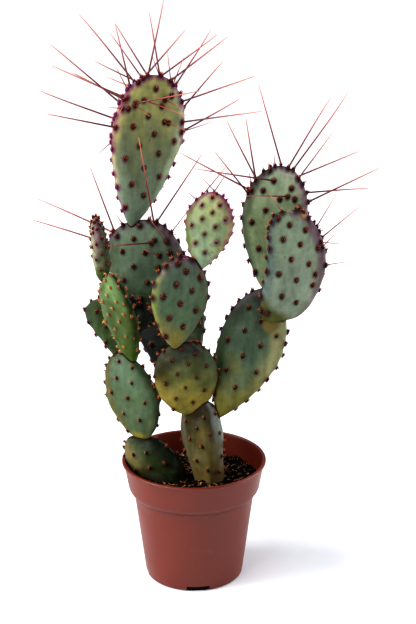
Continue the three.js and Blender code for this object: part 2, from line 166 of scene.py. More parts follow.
PADS = [
    Pad(
        "pad_left_half_buried", at=(-5.5, -6, 71), lean=(-44, -4, -6), size=(71, 40, 20), widest=0.56,
        fullness=0.61, spacing=13,
        # The near-black foot is painted shade, where the pad meets the soil.
        look=Look(flesh="#434f2a", tip="#404b2c", foot="#120d07", left=("#80774a", 1.2),
                  right=("#262f1c", 0.9), reach=0.4, tilt=0.3, halo=0.2, tuft=0.8),
    ),
    Pad(
        "pad_left_lower", on="pad_left_half_buried", at=(39, 0), lean=(-16, 0, -20), size=(80, 44, 15),
        widest=0.51, fullness=0.55, bow=1.5, spacing=14,
        look=Look(flesh="#5c6e50", tip="#6a7f66", foot="#968e44", left=("#66643a", 0.42),
                  right=("#4c5c3c", 0.4), reach=0.14, halo=0.25, tuft=0.8),
    ),
    Pad(
        "pad_left_rear", on="pad_left_lower", at=(-11, -38), lean=(4.5, -21.5, 6), size=(50, 54, 10),
        widest=0.71, fullness=0.5, spacing=12,
        # The near-black right side is painted shadow, cast by pad_left_front in front of it.
        look=Look(flesh="#44562f", tip="#48593a", foot="#5e5c34", left=("#4a5a3c", 0.3),
                  right=("#0f1608", 1.3), reach=0.08, halo=0.3, tuft=0.8),
    ),
    Pad(
        "pad_left_front", on="pad_left_lower", at=(38, -10), lean=(-12, 16, -40), size=(90, 33, 13),
        widest=0.57, fullness=0.65, bow=-2.5, spacing=10, rim_spacing=6, rim_spread=80,
        # The lighter left side holds painted light and the dark right side holds painted shade, because the
        # light falls from the left.
        look=Look(flesh="#4a5828", tip="#7f9c66", foot="#4a6620", left=("#637548", 0.5),
                  right=("#2e3f08", 0.5), reach=0.3, blush=(0.4, 20, 40, 5), halo=0.0, tuft=0.75,
                  areoles="young"),
    ),
    Pad(
        "pad_left_top", on="pad_left_front", at=(-32, 0), lean=(-6, 2, -82), size=(54, 30, 12.5),
        widest=0.74, fullness=0.6, spacing=8.5, rim_spacing=4.5, rim_spread=100,
        look=Look(flesh="#7c8260", tip="#9c8482", foot="#56702e", left=("#a5a180", 0.8),
                  right=("#4a5822", 0.9), reach=0.3, bruise="#82626e", blush=(0.9, 20, 60, 6), halo=0.5,
                  tuft=0.65),
    ),
    Pad(
        "stem_main", at=(26, -8, 42), lean=(-10.3, 0, -35), size=(119, 38.5, 22), widest=0.78, fullness=0.32,
        bow=-6, spacing=13, rim_spacing=11,
        look=Look(flesh="#5e5726", tip="#322c12", foot="#867348", left=("#78745f", 0.3),
                  right=("#8b948a", 0.55), reach=0.6, halo=0.15, ribs=0.7, tuft=0.8),
    ),
    Pad(
        "pad_front_lower", on="stem_main", at=(-30, 64), lean=(-3, 20, 4), size=(76, 51, 15), widest=0.55,
        fullness=0.42, spacing=13.5,
        look=Look(flesh="#6c7240", tip="#262a22", foot="#a09248", left=("#38330f", 0.7),
                  right=("#586746", 0.3), reach=0.46, tilt=0.05, blush=(0.5, 20, 50, 5), halo=0.35, tuft=0.85),
    ),
    Pad(
        "pad_front_middle", on="pad_front_lower", at=(-13, 7), lean=(6, 6, 14), size=(81, 45, 14),
        widest=0.57, fullness=0.57, spacing=13.5,
        spines=((20, 30, 8, -76, 25),),
        look=Look(flesh="#5f7358", tip="#647062", foot="#867a3c", left=("#818c4c", 0.35),
                  right=("#5c6a4c", 0.5), reach=0.24, tilt=0.12, bruise="#84587e", blush=(1.3, 0, 50, 3.8)),
    ),
    Pad(
        "pad_front_top", on="pad_front_middle", at=(42.5, -17), lean=(11, 2, -14), size=(65, 37, 12),
        widest=0.61, fullness=0.55, spacing=10, rim_spacing=6,
        spines=((-30, 0, 33, 38, 0), (8, 60, 21, -37, 25), (-44, 20, 11, -43, 25)),
        look=Look(flesh="#8d9b77", tip="#a5ab7a", foot="#9aae8c", left=("#6c7a48", 0.3),
                  right=("#a6a56e", 0.4), reach=0.3, bruise="#a04c74", blush=(1.0, 15, 75, 2.5), halo=0.6,
                  halo_colour="#7c3358", tuft=0.66, areoles="flushed"),
    ),
    Pad(
        "pad_right_lower", on="stem_main", at=(41, -34), lean=(21.7, -8, -18), size=(116.5, 54, 17),
        widest=0.6, fullness=0.59, bow=2.5, spacing=16,
        look=Look(flesh="#5b6e58", tip="#26281f", foot="#757034", left=("#35482a", 0.4),
                  right=("#9a986e", 0.75), reach=0.34, bruise="#5a4858", blush=(1.1, -25, 45, 5), halo=0.45,
                  # The olive patch below pad_right_front's foot is painted light, which lifts the shadow that
                  # this pad casts there.
                  scar_or_painted_light=(57, 72, 9.5), scar_or_painted_light_colour="#625630"),
    ),
    Pad(
        "pad_right_rear", on="pad_right_lower", at=(-11.5, -44), lean=(7, -6, -10), size=(103, 52, 14),
        widest=0.62, fullness=0.47, bow=-1.5,
        spines=(
            (-2, 0, 68, -16, 0), (10, 40, 68, 28, 10), (16, 0, 78, 39, -25), (32, 30, 45, 35, 0),
            (-42, 0, 52, -28, -15), (-44, 20, 60, -9, 18), (-12, 20, 12, -7, 25), (-40, 80, 70, -74, 25),
            (-56, 0, 63, -64, -12), (-60, 20, 50, -35, 18), (-56, 30, 19, -8, 15), (50, 0, 50, 86, 0),
            (60, 0, 65, 67, -12), (56, 75, 37, -82, 25), (58, 60, 12, 148, 10),
        ),
        look=Look(flesh="#8a9872", tip="#a0b092", foot="#869474", left=("#5f6a50", 0.4),
                  right=("#8a8478", 0.3), bruise="#ac8496", blush=(1.1, 25, 50, 6)),
    ),
    Pad(
        "pad_right_front", on="pad_right_lower", at=(46, 42), lean=(2, 12, 18), size=(100, 50, 14),
        widest=0.42, fullness=0.29, bow=10.5, spacing=15,
        spines=(
            (-4, 20, 25, -31, 25), (50, 0, 32, 29, 0), (64, 0, 40, 49, 0), (72, 30, 22, 34, 25),
            (92, 20, 21, 72, 25), (66, 30, 19, 88, 25), (98, 60, 8, -156, 25),
        ),
        look=Look(flesh="#8f9c86", tip="#93a388", foot="#5c5c1c", left=("#76867c", 0.35),
                  right=("#7a6c68", 0.45), reach=0.1, tilt=0.1, bruise="#6e465e", blush=(1.2, 48, 50, 7),
                  scar_or_painted_light=(24, 25, 4.5)),
    ),
    Pad(
        "pad_rear_lower", on="stem_main", at=(-27.5, -32), lean=(-15.4, -30, -18.5), size=(91, 62, 15),
        widest=0.8, fullness=0.32, spacing=14,
        # All these colours are painted shade: the pad is near black, as it shows behind the pads in front of
        # it.
        look=Look(flesh="#2c391e", tip="#303d24", foot="#3c4022", left=("#10170a", 1.4),
                  right=("#2f3b20", 0.3), reach=0.25, halo=0.3),
    ),
    Pad(
        "pad_rear_middle", on="pad_rear_lower", at=(-51.5, 86), lean=(-14, 1, -8), size=(95, 64, 15),
        widest=0.62, fullness=0.4, spacing=15.5,
        spines=(
            (26, 0, 67, 35, -15), (26, 30, 90, -7, 25), (-28, 0, 57, -19, 0), (-30, 0, 74, -73, -25),
            (-46, 0, 68, -76, -12), (-14, 30, 14, -27, 25), (48, 0, 29, 36, 0), (56, 45, 34, -30, 25),
            (54, 75, 44, -87, 25), (70, 70, 16, -59, 25),
        ),
        # The dark foot is painted shade, where the pad's lower part lies behind the pads in front of it.
        look=Look(flesh="#5c6c58", tip="#7e8e78", foot="#303e24", left=("#4c5d44", 0.5),
                  right=("#515e4c", 0.5), reach=0.35, bruise="#8c687c", blush=(1.0, 20, 75, 5)),
    ),
    Pad(
        "pad_top", on="pad_rear_middle", at=(-9.5, 77), lean=(9.9, 3, 20), size=(128, 59.5, 14), widest=0.65,
        fullness=0.44, bow=1.3, spacing=15, rim_spacing=8.5,
        spines=(
            (-52, 0, 71, -49, 0), (-46, 0, 67, -72, -25), (-48, 20, 51, -56, 25), (-56, 30, 12, -79, 25),
            (-66, 0, 63, -69, 0), (-72, 20, 60, -72, 25), (-34, 0, 60, -10, 25), (-28, -20, 70, -42, -20),
            (-26, 30, 42, -58, 25), (-38, 0, 21, -26, 0), (-18, -20, 45, -39, -25), (-10, 0, 48, -31, 0),
            (-10, 20, 66, 12, 15), (4, 0, 50, -9, 0), (-18, 30, 60, 38, 25), (4, 30, 20, -17, 25),
            (6, 20, 58, 51, 15), (20, 0, 24, -6, 0), (20, 30, 67, 48, 25), (28, 0, 52, 34, -15),
            (26, 30, 29, 20, 25), (46, 20, 70, 65, 25), (52, 0, 50, 44, -25), (64, 30, 71, 76, 25),
            (72, 0, 52, 60, 0), (72, 30, 31, 65, 25), (-50, 60, 58, 73, 25), (-46, 75, 38, 105, 25),
            (-52, 60, 15, 121, 25), (44, 75, 19, 114, 25), (64, 75, 20, 106, 25), (-84, 0, 15, -127, 25),
            (-46, 30, 14, -152, 25),
        ),
        look=Look(flesh="#7c8260", tip="#b0ae70", foot="#86967e", left=("#c4b87c", 0.35),
                  right=("#b6c09a", 0.35), reach=0.4, bruise="#b0608a", blush=(0.6, 0, 70, 3),
                  halo_colour="#863a6c", areoles="flushed"),
    ),
]


def signed_power(value, power):
    """A power of the size of a value, with the value's sign."""
    return np.sign(value) * np.abs(value) ** power


def smooth_step(low, high, value):
    """0 below low, 1 above high, and 3t^2 - 2t^3 between them."""
    t = np.clip((value - low) / (high - low), 0, 1)
    return t * t * (3 - 2 * t)


def unit(vectors):
    """The same directions with length 1."""
    return vectors / np.linalg.norm(vectors, axis=-1, keepdims=True)


def ripple(points, wavelength, seed):
    """Uneven but repeatable relief, about -1 to 1: a sum of sine waves that run in random directions, each
    about one wavelength long, over the points."""
    random = np.random.default_rng(seed)
    ways = unit(random.normal(size=(WAVES, 3))) * (2 * math.pi / wavelength)
    ways = ways * random.uniform(*WAVE_SPREAD, (WAVES, 1))
    starts = random.uniform(0, 2 * math.pi, WAVES)
    return np.sin(points @ ways.T + starts).sum(-1) / math.sqrt(WAVES)


def directions(heading, toward, turn):
    """Side, up and front of a pad: up leans by heading and toward, and the other two are turned about it."""
    h, t, k = np.radians([heading, toward, turn])
    up = np.array([math.sin(h) * math.cos(t), -math.sin(t), math.cos(h) * math.cos(t)])
    flat_side = unit(np.cross([0.0, 1.0, 0.0], up))
    flat_front = np.cross(flat_side, up)
    side = flat_side * math.cos(k) - flat_front * math.sin(k)
    front = flat_front * math.cos(k) + flat_side * math.sin(k)
    return side, up, front


def half_width(pad, share):
    """Half the width at a share of the length: a sine arch whose top is moved to the widest place and whose
    fullness is its power."""
    power = math.log(0.5) / math.log(pad.widest)
    return pad.width / 2 * np.maximum(np.sin(math.pi * share ** power), 0) ** pad.fullness


def half_thickness(pad, share):
    """Half the thickness at a share of the length: a blunt sine arch."""
    return pad.thick / 2 * np.maximum(np.sin(math.pi * share ** THICKNESS_SHIFT), 0) ** THICKNESS_FULLNESS


def skin(pad, share, angle):
    """Points of the skin: at a share of the length, a superellipse of the half width and half thickness, at an
    angle round it from the right edge to the front, moved sideways by a sine arch of the bow."""
    power = 2 / SECTION_POWER
    across = half_width(pad, share) * signed_power(np.cos(angle), power)
    across = across + pad.bow * np.sin(math.pi * share)
    out = half_thickness(pad, share) * signed_power(np.sin(angle), power)
    along = pad.length * share + 0 * angle
    return (pad.base + across[..., None] * pad.side_way + along[..., None] * pad.up_way
            + out[..., None] * pad.front_way)


def rim_point(pad, rim, face):
    """The skin at an angle round the rim from the tip and an angle up the face."""
    share = (1 + math.cos(math.radians(rim))) / 2
    angle = math.radians(face) if rim >= 0 else math.pi - math.radians(face)
    return skin(pad, np.array(share), np.array(angle))


def depth_in(pad, points, margin):
    """Below 1 inside a pad that is made larger all round by margin, above 1 outside: the superellipse's sum,
    and past the ends the distance to them on top of it."""
    offset = points - pad.base
    share = (offset @ pad.up_way + margin) / (pad.length + 2 * margin)
    inside = np.clip(share, VERY_END, 1 - VERY_END)
    across = offset @ pad.side_way - pad.bow * np.sin(math.pi * inside)
    wide = np.abs(across) / (half_width(pad, inside) + margin)
    deep = np.abs(offset @ pad.front_way) / (half_thickness(pad, inside) + margin)
    beyond = np.maximum(np.abs(share - 0.5) - 0.5, 0) * pad.length
    return wide ** SECTION_POWER + deep ** SECTION_POWER + beyond


def outward(pad, points):
    """Outward direction of the skin: the slope of depth_in along the pad's three ways."""
    ways = np.array([pad.side_way, pad.up_way, pad.front_way])
    slopes = [depth_in(pad, points + step, SLOPE_MARGIN) - depth_in(pad, points - step, SLOPE_MARGIN)
              for step in SLOPE_STEP * ways]
    return unit(np.stack(slopes, -1) @ ways)


def grow_pads():
    """Works out each pad's base and directions. A pad comes after the one that it grows on."""
    placed = {}
    for pad in PADS:
        pad.length, pad.width, pad.thick = pad.size
        pad.side_way, pad.up_way, pad.front_way = directions(*pad.lean)
        if pad.on:
            pad.base = rim_point(placed[pad.on], *pad.at) - JOINT_SINK * pad.up_way
        else:
            pad.base = np.array(pad.at, float)
        placed[pad.name] = pad


def pot_inner_radius(height):
    """Radius inside the pot's wall at a height: straight lines between the wall's corners."""
    heights = [0, INNER_WALL_TOP, INNER_COLLAR_BOTTOM, POT_HEIGHT]
    radii = np.array([BASE_RADIUS, WALL_TOP_RADIUS, COLLAR_BOTTOM_RADIUS, COLLAR_TOP_RADIUS]) - WALL
    return np.interp(height, heights, radii)


# Meshes

def tube_faces(rows, columns):
    """Faces of a closed skin whose points are a pole, rows of rings and another pole: squares between
    neighbouring rings and a fan of triangles to each pole."""
    ring = np.arange(columns)
    after = (ring + 1) % columns
    low = 1 + columns * np.arange(rows - 1)[:, None]
    squares = np.stack([low + ring, low + columns + ring, low + columns + after, low + after], -1)
    last = 1 + columns * (rows - 1)
    end = np.full(columns, last + columns)
    return [
        squares.reshape(-1, 4),
        np.stack([0 * ring, 1 + ring, 1 + after], -1),
        np.stack([last + ring, end, last + after], -1),
    ]


def repeated(faces, points_each, count):
    """The same faces for count shapes whose points follow one another."""
    steps = points_each * np.arange(count)[:, None, None]
    return [(each[None] + steps).reshape(-1, each.shape[1]) for each in faces]


def closed_skins(starts, rings, ends):
    """Points and faces of many closed skins, each with a pole, rows of rings and another pole."""
    count, rows, columns = rings.shape[:3]
    whole = np.concatenate([starts[:, None], rings.reshape(count, -1, 3), ends[:, None]], 1)
    return whole, repeated(tube_faces(rows, columns), whole.shape[1], count)


def write_values(mesh, values):
    """Writes one number a point under each name, for the materials."""
    for key, numbers in values.items():
        made = mesh.attributes.new(key, "FLOAT", "POINT")
        made.data.foreach_set("value", np.asarray(numbers, np.float32).ravel())


def make_piece(name, points, faces, materials, values=None, picks=None, smooth=True):
    """A mesh from points in millimetres and arrays of faces, with the given materials, hung on the body's
    empty.
    Values are one number a point, by name, and picks gives each face its material."""
    mesh = bpy.data.meshes.new(name)
    points = np.asarray(points, np.float32).reshape(-1, 3) * MILLIMETRE
    corners = np.concatenate([each.ravel() for each in faces]).astype(np.int32)
    sizes = np.concatenate([np.full(len(each), each.shape[1]) for each in faces])
    starts = np.concatenate([[0], np.cumsum(sizes)[:-1]]).astype(np.int32)
    mesh.vertices.add(len(points))
    mesh.vertices.foreach_set("co", points.ravel())
    mesh.loops.add(len(corners))
    mesh.loops.foreach_set("vertex_index", corners)
    mesh.polygons.add(len(sizes))
    mesh.polygons.foreach_set("loop_start", starts)
    if picks is not None:
        mesh.polygons.foreach_set("material_index", np.asarray(picks, np.int32))
    mesh.update(calc_edges=True)
    mesh.polygons.foreach_set("use_smooth", np.full(len(sizes), smooth))
    write_values(mesh, values or {})
    piece = bpy.data.objects.new(name, mesh)
    bpy.context.scene.collection.objects.link(piece)
    for material in materials:
        mesh.materials.append(material)
    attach(piece, BODY)
    return piece


NEARLY_UPRIGHT = 0.9


def across_ways(ways):
    """Two directions square to each of these and to each other."""
    helper = np.where(np.abs(ways[..., 2:3]) < NEARLY_UPRIGHT, [0.0, 0.0, 1.0], [1.0, 0.0, 0.0])
    one = unit(np.cross(helper, ways))
    return one, np.cross(ways, one)


def spokes(ways, sides):
    """Unit spokes square to each way, in the order that makes tube_faces point outward."""
    one, two = across_ways(ways)
    angle = -2 * math.pi * np.arange(sides) / sides
    return np.cos(angle)[:, None] * one[:, None] + np.sin(angle)[:, None] * two[:, None]


# Materials

def linear(colour):
    """An sRGB hex colour as linear red, green, blue and alpha."""
    parts = np.array([int(colour[i:i + 2], 16) for i in (1, 3, 5)]) / 255
    parts = np.where(parts <= 0.04045, parts / 12.92, ((parts + 0.055) / 1.055) ** 2.4)
    return [*parts.tolist(), 1.0]


def add_node(tree, kind, output=0, **settings):
    """Adds one shader node and gives one of its outputs. A setting is a property of the node, or an input by
    name, with _ for a space, or by in_ and its number. An input takes a number, a vector, a hex colour or an
    output."""
    node = tree.nodes.new("ShaderNode" + kind)
    for key, value in settings.items():
        if hasattr(node, key):
            setattr(node, key, value)
            continue
        socket = node.inputs[int(key[3:]) if key.startswith("in_") else key.replace("_", " ")]
        if isinstance(value, bpy.types.NodeSocket):
            tree.links.new(value, socket)
        else:
            socket.default_value = linear(value) if isinstance(value, str) else value
    return node.outputs[output] if node.outputs else node


def new_material(name, values=(), **noise):
    """An empty material, what adds a node to it, and what it reads, by name: values of the mesh, its place in
    Object coordinates, and noise over that with a size in millimetres, a detail, a roughness and a squeeze up
    the object."""
    material = bpy.data.materials.new(name)
    material.use_nodes = True
    material.node_tree.nodes.clear()
    add = partial(add_node, material.node_tree)
    read = {key: add("Attribute", "Fac", attribute_name=key) for key in values}
    read["place"] = add("TexCoord", "Object")
    for key, (size, detail, roughness, squeeze) in noise.items():
        place = add("VectorMath", operation="MULTIPLY", in_0=read["place"], in_1=(1, 1, squeeze))
        scale = 1 / (size * MILLIMETRE)
        read[key] = add("TexNoise", Vector=place, Scale=scale, Detail=detail, Roughness=roughness)
    return material, add, read


def finish_material(material, colour, layers, **settings):
    """Lays the layers over the colour in turn and adds the one shader. A layer is the share of it that shows,
    its colour and, if it is not just laid over, how it blends."""
    add = partial(add_node, material.node_tree)
    for share, over, *blend in layers:
        colour = add("Mix", 2, data_type="RGBA", blend_type=blend[0] if blend else "MIX", in_0=share,
                     in_6=colour, in_7=over)
    add("OutputMaterial", Surface=add("BsdfPrincipled", Base_Color=colour, **settings))
    return material


# The looks give colours as they show under the studio's light, which is this much brighter than full white.
SKIN_SHOWS = 1.6
# What the skin's material reads from the mesh.
SKIN_VALUES = ("ripe", "left", "right", "foot", "blush", "rim", "areole", "cork", "scar_or_painted_light")


def cactus_skin(name, look):
    """Prickly-pear skin: a tough green cuticle under a thin matt wax. The eye sees soft broad highlights, a
    grey bloom that is rubbed off in places, yellow where the flesh is old or sunlit, purple where it was cold,
    a dark ring round each areole, rusty flecks and brown cork at the joints."""
    # The pads stand nearly upright, so noise that is squeezed up the object runs in streaks up the pads. The
    # real grain of the cuticle is finer than 0.1 mm and is drawn coarser, so that it shows.
    material, add, at = new_material(
        name, SKIN_VALUES, blotches=(22, 4, 0.6, 1), mottle=(5, 3, 0.6, 1), streaks=(4, 2, 0.5, 0.12),
        folds=(11, 1, 0.5, 0.22), grain=(0.7, 2, 0.5, 1))
    bloom = add("MapRange", Value=at["blotches"], From_Min=0.5, From_Max=0.7, To_Max=0.25)
    reach = add("Math", operation="MULTIPLY_ADD", in_0=at["rim"], in_1=0.22, in_2=-0.1)
    around = add("Math", operation="ADD", in_0=at["areole"], in_1=reach)
    halo = add("MapRange", Value=around, From_Min=0.15, From_Max=0.6, To_Max=0.8 * look.halo)
    middle = add("MapRange", Value=at["areole"], From_Min=0.68, From_Max=0.9, To_Max=0.85)
    ring_colour, middle_colour = (
        add("Mix", 2, data_type="RGBA", in_0=at["rim"], in_6=inside, in_7=look.halo_colour)
        for inside in ("#241218", "#2a1216"))
    speckled = add("Math", operation="MULTIPLY_ADD", in_0=at["streaks"], in_1=0.8, in_2=at["mottle"])
    banded = add("Math", operation="MULTIPLY_ADD", in_0=at["folds"], in_1=1.1, in_2=speckled)
    shade = add("MapRange", Value=banded, From_Min=1.0, From_Max=1.9, To_Min=0.68 / SKIN_SHOWS,
                To_Max=1.34 / SKIN_SHOWS)
    tone = add("CombineColor", Red=shade, Green=shade, Blue=shade)
    rusty = add("MapRange", Value=speckled, From_Min=1.08, From_Max=1.2, To_Max=0.42)
    rough = add("MapRange", Value=at["blotches"], From_Min=0.35, From_Max=0.7, To_Min=0.42, To_Max=0.56)
    relief = add("Math", operation="MULTIPLY_ADD", in_0=at["grain"], in_1=0.35, in_2=at["mottle"])
    bump = add("Bump", Height=relief, Strength=0.4, Distance=0.0004)
    # The left, right and foot layers carry painted light and shade as well as the skin's own colours, and on
    # one pad the scar layer is a patch of painted light.
    layers = [
        (at["ripe"], look.tip), (at["left"], look.left[0]), (at["right"], look.right[0]),
        (at["foot"], look.foot), (bloom, "#84937e"), (at["blush"], look.bruise), (halo, ring_colour),
        (middle, middle_colour), (1.0, tone, "MULTIPLY"), (at["cork"], "#2e2013"), (rusty, "#4a3018"),
        (at["scar_or_painted_light"], look.scar_or_painted_light_colour),
    ]
    return finish_material(material, look.flesh, layers, Roughness=rough, IOR=1.42, Specular_IOR_Level=0.16,
                           Normal=bump)


def areole_felt(name, low, high, at_rim):
    """Areole wool: short matted plant hair. The eye sees a dull cushion, which takes the colour at_rim on the
    edge of a pad."""
    material, _, at = new_material(name, ["edge"], hair=(0.6, 2, 0.5, 1))
    layers = [(at["hair"], high), (at["edge"], at_rim)]
    return finish_material(material, low, layers, Roughness=0.9, Specular_IOR_Level=0.2)


def barb(name, foot, middle, tip):
    """Spine tissue: hard dry plant fibre with a smooth surface. The eye sees a colour that pales to the tip and
    a thin glint along it."""
    material, add, at = new_material(name, ["reach"], bands=(3, 2, 0.5, 1))
    low = add("MapRange", Value=at["reach"], From_Max=0.45)
    high = add("MapRange", Value=at["reach"], From_Min=0.45)
    darker = add("MapRange", Value=at["bands"], From_Min=0.5, From_Max=0.75, To_Max=0.35)
    layers = [(low, middle), (high, tip), (darker, foot)]
    return finish_material(material, foot, layers, Roughness=0.38, IOR=1.5)


def moulded_plastic():
    """Polypropylene, injection moulded and coloured through: a satin surface with a faint cloudy gloss, grey
    scuffs where it was handled, specks of soil, and painted shade along the crease under the collar."""
    material, add, at = new_material(
        "moulded_polypropylene", ("rubbed", "painted_crease_shade"), cloud=(30, 4, 0.5, 1), fine=(2, 3, 0.5, 1),
        smears=(12, 5, 0.7, 1))
    smear = add("MapRange", Value=at["smears"], From_Min=0.6, From_Max=0.75, To_Max=0.3)
    scuff = add("Math", operation="MULTIPLY", in_0=smear, in_1=at["rubbed"])
    speck = add("MapRange", Value=at["fine"], From_Min=0.7, From_Max=0.73, To_Max=0.85)
    gloss = add("MapRange", Value=at["cloud"], From_Min=0.3, From_Max=0.7, To_Min=0.36, To_Max=0.5)
    bump = add("Bump", Height=at["fine"], Strength=0.08, Distance=0.0003)
    # The last layer is painted shade: a dark line along the crease under the collar.
    layers = [(at["cloud"], "#692611"), (scuff, "#6f5a54"), (speck, "#2a1a14"), (at["painted_crease_shade"], "#1a0a06")]
    return finish_material(
        material, "#5a1c0a", layers, Roughness=gloss, IOR=1.49, Specular_IOR_Level=0.54, Normal=bump)


def peat_soil():
    """Damp potting peat: crumbs of decayed plant fibre. The eye sees near-black brown with rusty flecks."""
    material, add, at = new_material("peat_soil", crumbs=(2.2, 4, 0.65, 1))
    chips = add("TexVoronoi", Vector=at["place"], Scale=1 / (1.6 * MILLIMETRE))
    rusty = add("MapRange", Value=at["crumbs"], From_Min=0.62, From_Max=0.72, To_Max=0.7)
    height = add("Math", operation="ADD", in_0=at["crumbs"], in_1=chips)
    bump = add("Bump", Height=height, Strength=0.8, Distance=0.0008)
    layers = [(at["crumbs"], "#1e120c"), (rusty, "#4a2e1a")]
    return finish_material(material, "#050302", layers, Roughness=0.9, Specular_IOR_Level=0.15, Normal=bump)


def dry_fibre():
    """Coir and bark shreds: dry split plant fibre, matt, straw to brown from piece to piece."""
    material, _, at = new_material("dry_fibre", ["tone"], strands=(0.9, 2, 0.5, 1))
    layers = [(at["tone"], "#dcae7c"), (at["strands"], "#6e4626")]
    return finish_material(material, "#4a2a16", layers, Roughness=0.8, IOR=1.45)


def studio_paper():
    """White paper sweep: matt, even and pale."""
    material, _, at = new_material("studio_paper", pulp=(25, 2, 0.5, 1))
    return finish_material(material, "#dfe0e4", [(at["pulp"], "#e8e9ec")], Roughness=0.9)


# Pads

PAD_ROWS = 126
PAD_COLUMNS = 112
# Half width and half thickness of the section whose lengths space the columns.
TYPICAL_SECTION = (25, 7)
TYPICAL_STEPS = 2001
SWELLING = 0.9
SWELLING_SPREAD = 2.6
# The dark ring round an areole, which reaches farther below it than above it.
RING_SPREAD = 2.8
RING_TAIL = 0.68
# Height, wavelength and seed of the ripples of the skin.
SKIN_RIPPLES = ((0.45, 34, 0), (0.12, 9, 40))
RIB_WAVES = 6
RIB_TWIST = 1.2
# Bands over which the skin's values rise, and how unevenly they do it.
WANDER = 0.07
WANDER_LENGTH = 22
SIDE_WANDER = 0.6
SIDE_FULL = 0.3
FOOT_BAND = (0.3, 1.6)
RIPE_BAND = (0.45, 1.0)
BLUSH_UNEVEN = 0.25
BLUSH_LENGTH = 8
RIM_DEPTH = 9
# Edge and unevenness of a dried scar or of a patch of painted light.
PATCH_EDGE = 0.5
PATCH_WANDER = 4
CORK_BAND = (0.9, 1.12)
CORK_REACH = 0.8


def section_angles(columns):
    """Angles round a pad's section, crowded where the edge bends: half by equal angles and half by equal
    lengths of a typical section."""
    dense = np.linspace(0, 2 * math.pi, TYPICAL_STEPS)
    x = TYPICAL_SECTION[0] * signed_power(np.cos(dense), 2 / SECTION_POWER)
    y = TYPICAL_SECTION[1] * signed_power(np.sin(dense), 2 / SECTION_POWER)
    passed = np.concatenate([[0], np.cumsum(np.hypot(np.diff(x), np.diff(y)))])
    measure = passed / passed[-1] + dense / (2 * math.pi)
    return np.interp(np.arange(columns) * 2 / columns, measure, dense)


def areole_places(pad):
    """Shares of the length and angles round the section of the areoles. On each face the share grows with the
    skin that is passed and the place across jumps by the golden ratio. On the rim they stand at even steps of
    its length, closer toward the tip, and jump up and down its edge by the golden ratio."""
    share = AREOLE_FIRST + (1 - AREOLE_FIRST) * (np.arange(AREOLE_SAMPLES) + 0.5) / AREOLE_SAMPLES
    wide = half_width(pad, share)
    step = pad.length * (1 - AREOLE_FIRST) / AREOLE_SAMPLES
    edge = np.hypot(np.gradient(wide), step)
    crowding = 1 + AREOLE_CROWDING * share ** CROWDING_POWER

    def shares(count, weight):
        """Shares of the length that have the same weight between them."""
        return np.interp((np.arange(count) + 0.5) / count, np.cumsum(weight) / weight.sum(), share)

    count = round(float(2 * FACE_REACH * wide.sum() * step / pad.spacing ** 2))
    turns = np.arange(count) * GOLDEN_SHARE
    along = shares(count, wide * crowding)
    places = []
    for phase, sign in ((0, 1), (0.5, -1)):
        across = FACE_REACH * (2 * ((turns + phase) % 1) - 1)
        places.append(np.stack([along, sign * np.arccos(signed_power(across, SECTION_POWER / 2))], -1))
    count = round(float(edge.sum() / pad.rim_spacing))
    along = shares(count, edge * crowding)
    jumps = ((np.arange(count) * GOLDEN_SHARE) % 1 - 0.5) * math.radians(pad.rim_spread)
    places.append(np.stack([along, jumps], -1))
    places.append(np.stack([along, math.pi + jumps[::-1]], -1))
    return np.concatenate(places)


def all_spines(pad):
    """The listed spines, and a mirror image on the far face of each that stands well up the near one."""
    far = [(-rim, -face, length, -heading, -toward)
           for rim, face, length, heading, toward in pad.spines if face >= MIRRORED_FROM]
    return [*pad.spines, *far]


def is_free(pad, points):
    """True where a point is clear of the other pads, the soil, the pot's wall and its lip."""
    inner = pot_inner_radius(np.minimum(points[:, 2], POT_HEIGHT))
    near_wall = np.hypot(points[:, 0], points[:, 1]) > inner - CLEAR_OF_WALL
    free = (points[:, 2] > LOWEST_AREOLE) & ~(near_wall & (points[:, 2] < POT_HEIGHT + CLEAR_OF_LIP))
    for other in PADS:
        if other is not pad:
            free &= depth_in(other, points, CLEAR_OF_PADS) > 1
    return free


def areoles_of(pad):
    """Points and directions of a pad's areoles, with those that carry the long spines."""
    places = areole_places(pad)
    points = skin(pad, places[:, 0], places[:, 1])
    if pad.spines:
        roots = np.array([rim_point(pad, spine[0], spine[1]) for spine in all_spines(pad)])
        gaps = np.linalg.norm(points[:, None] - roots[None], axis=-1).min(1)
        points = np.concatenate([points[gaps > CLEAR_OF_SPINES], roots])
    points = points[is_free(pad, points)]
    return points, unit(outward(pad, points) + AREOLE_LIFT * pad.up_way)


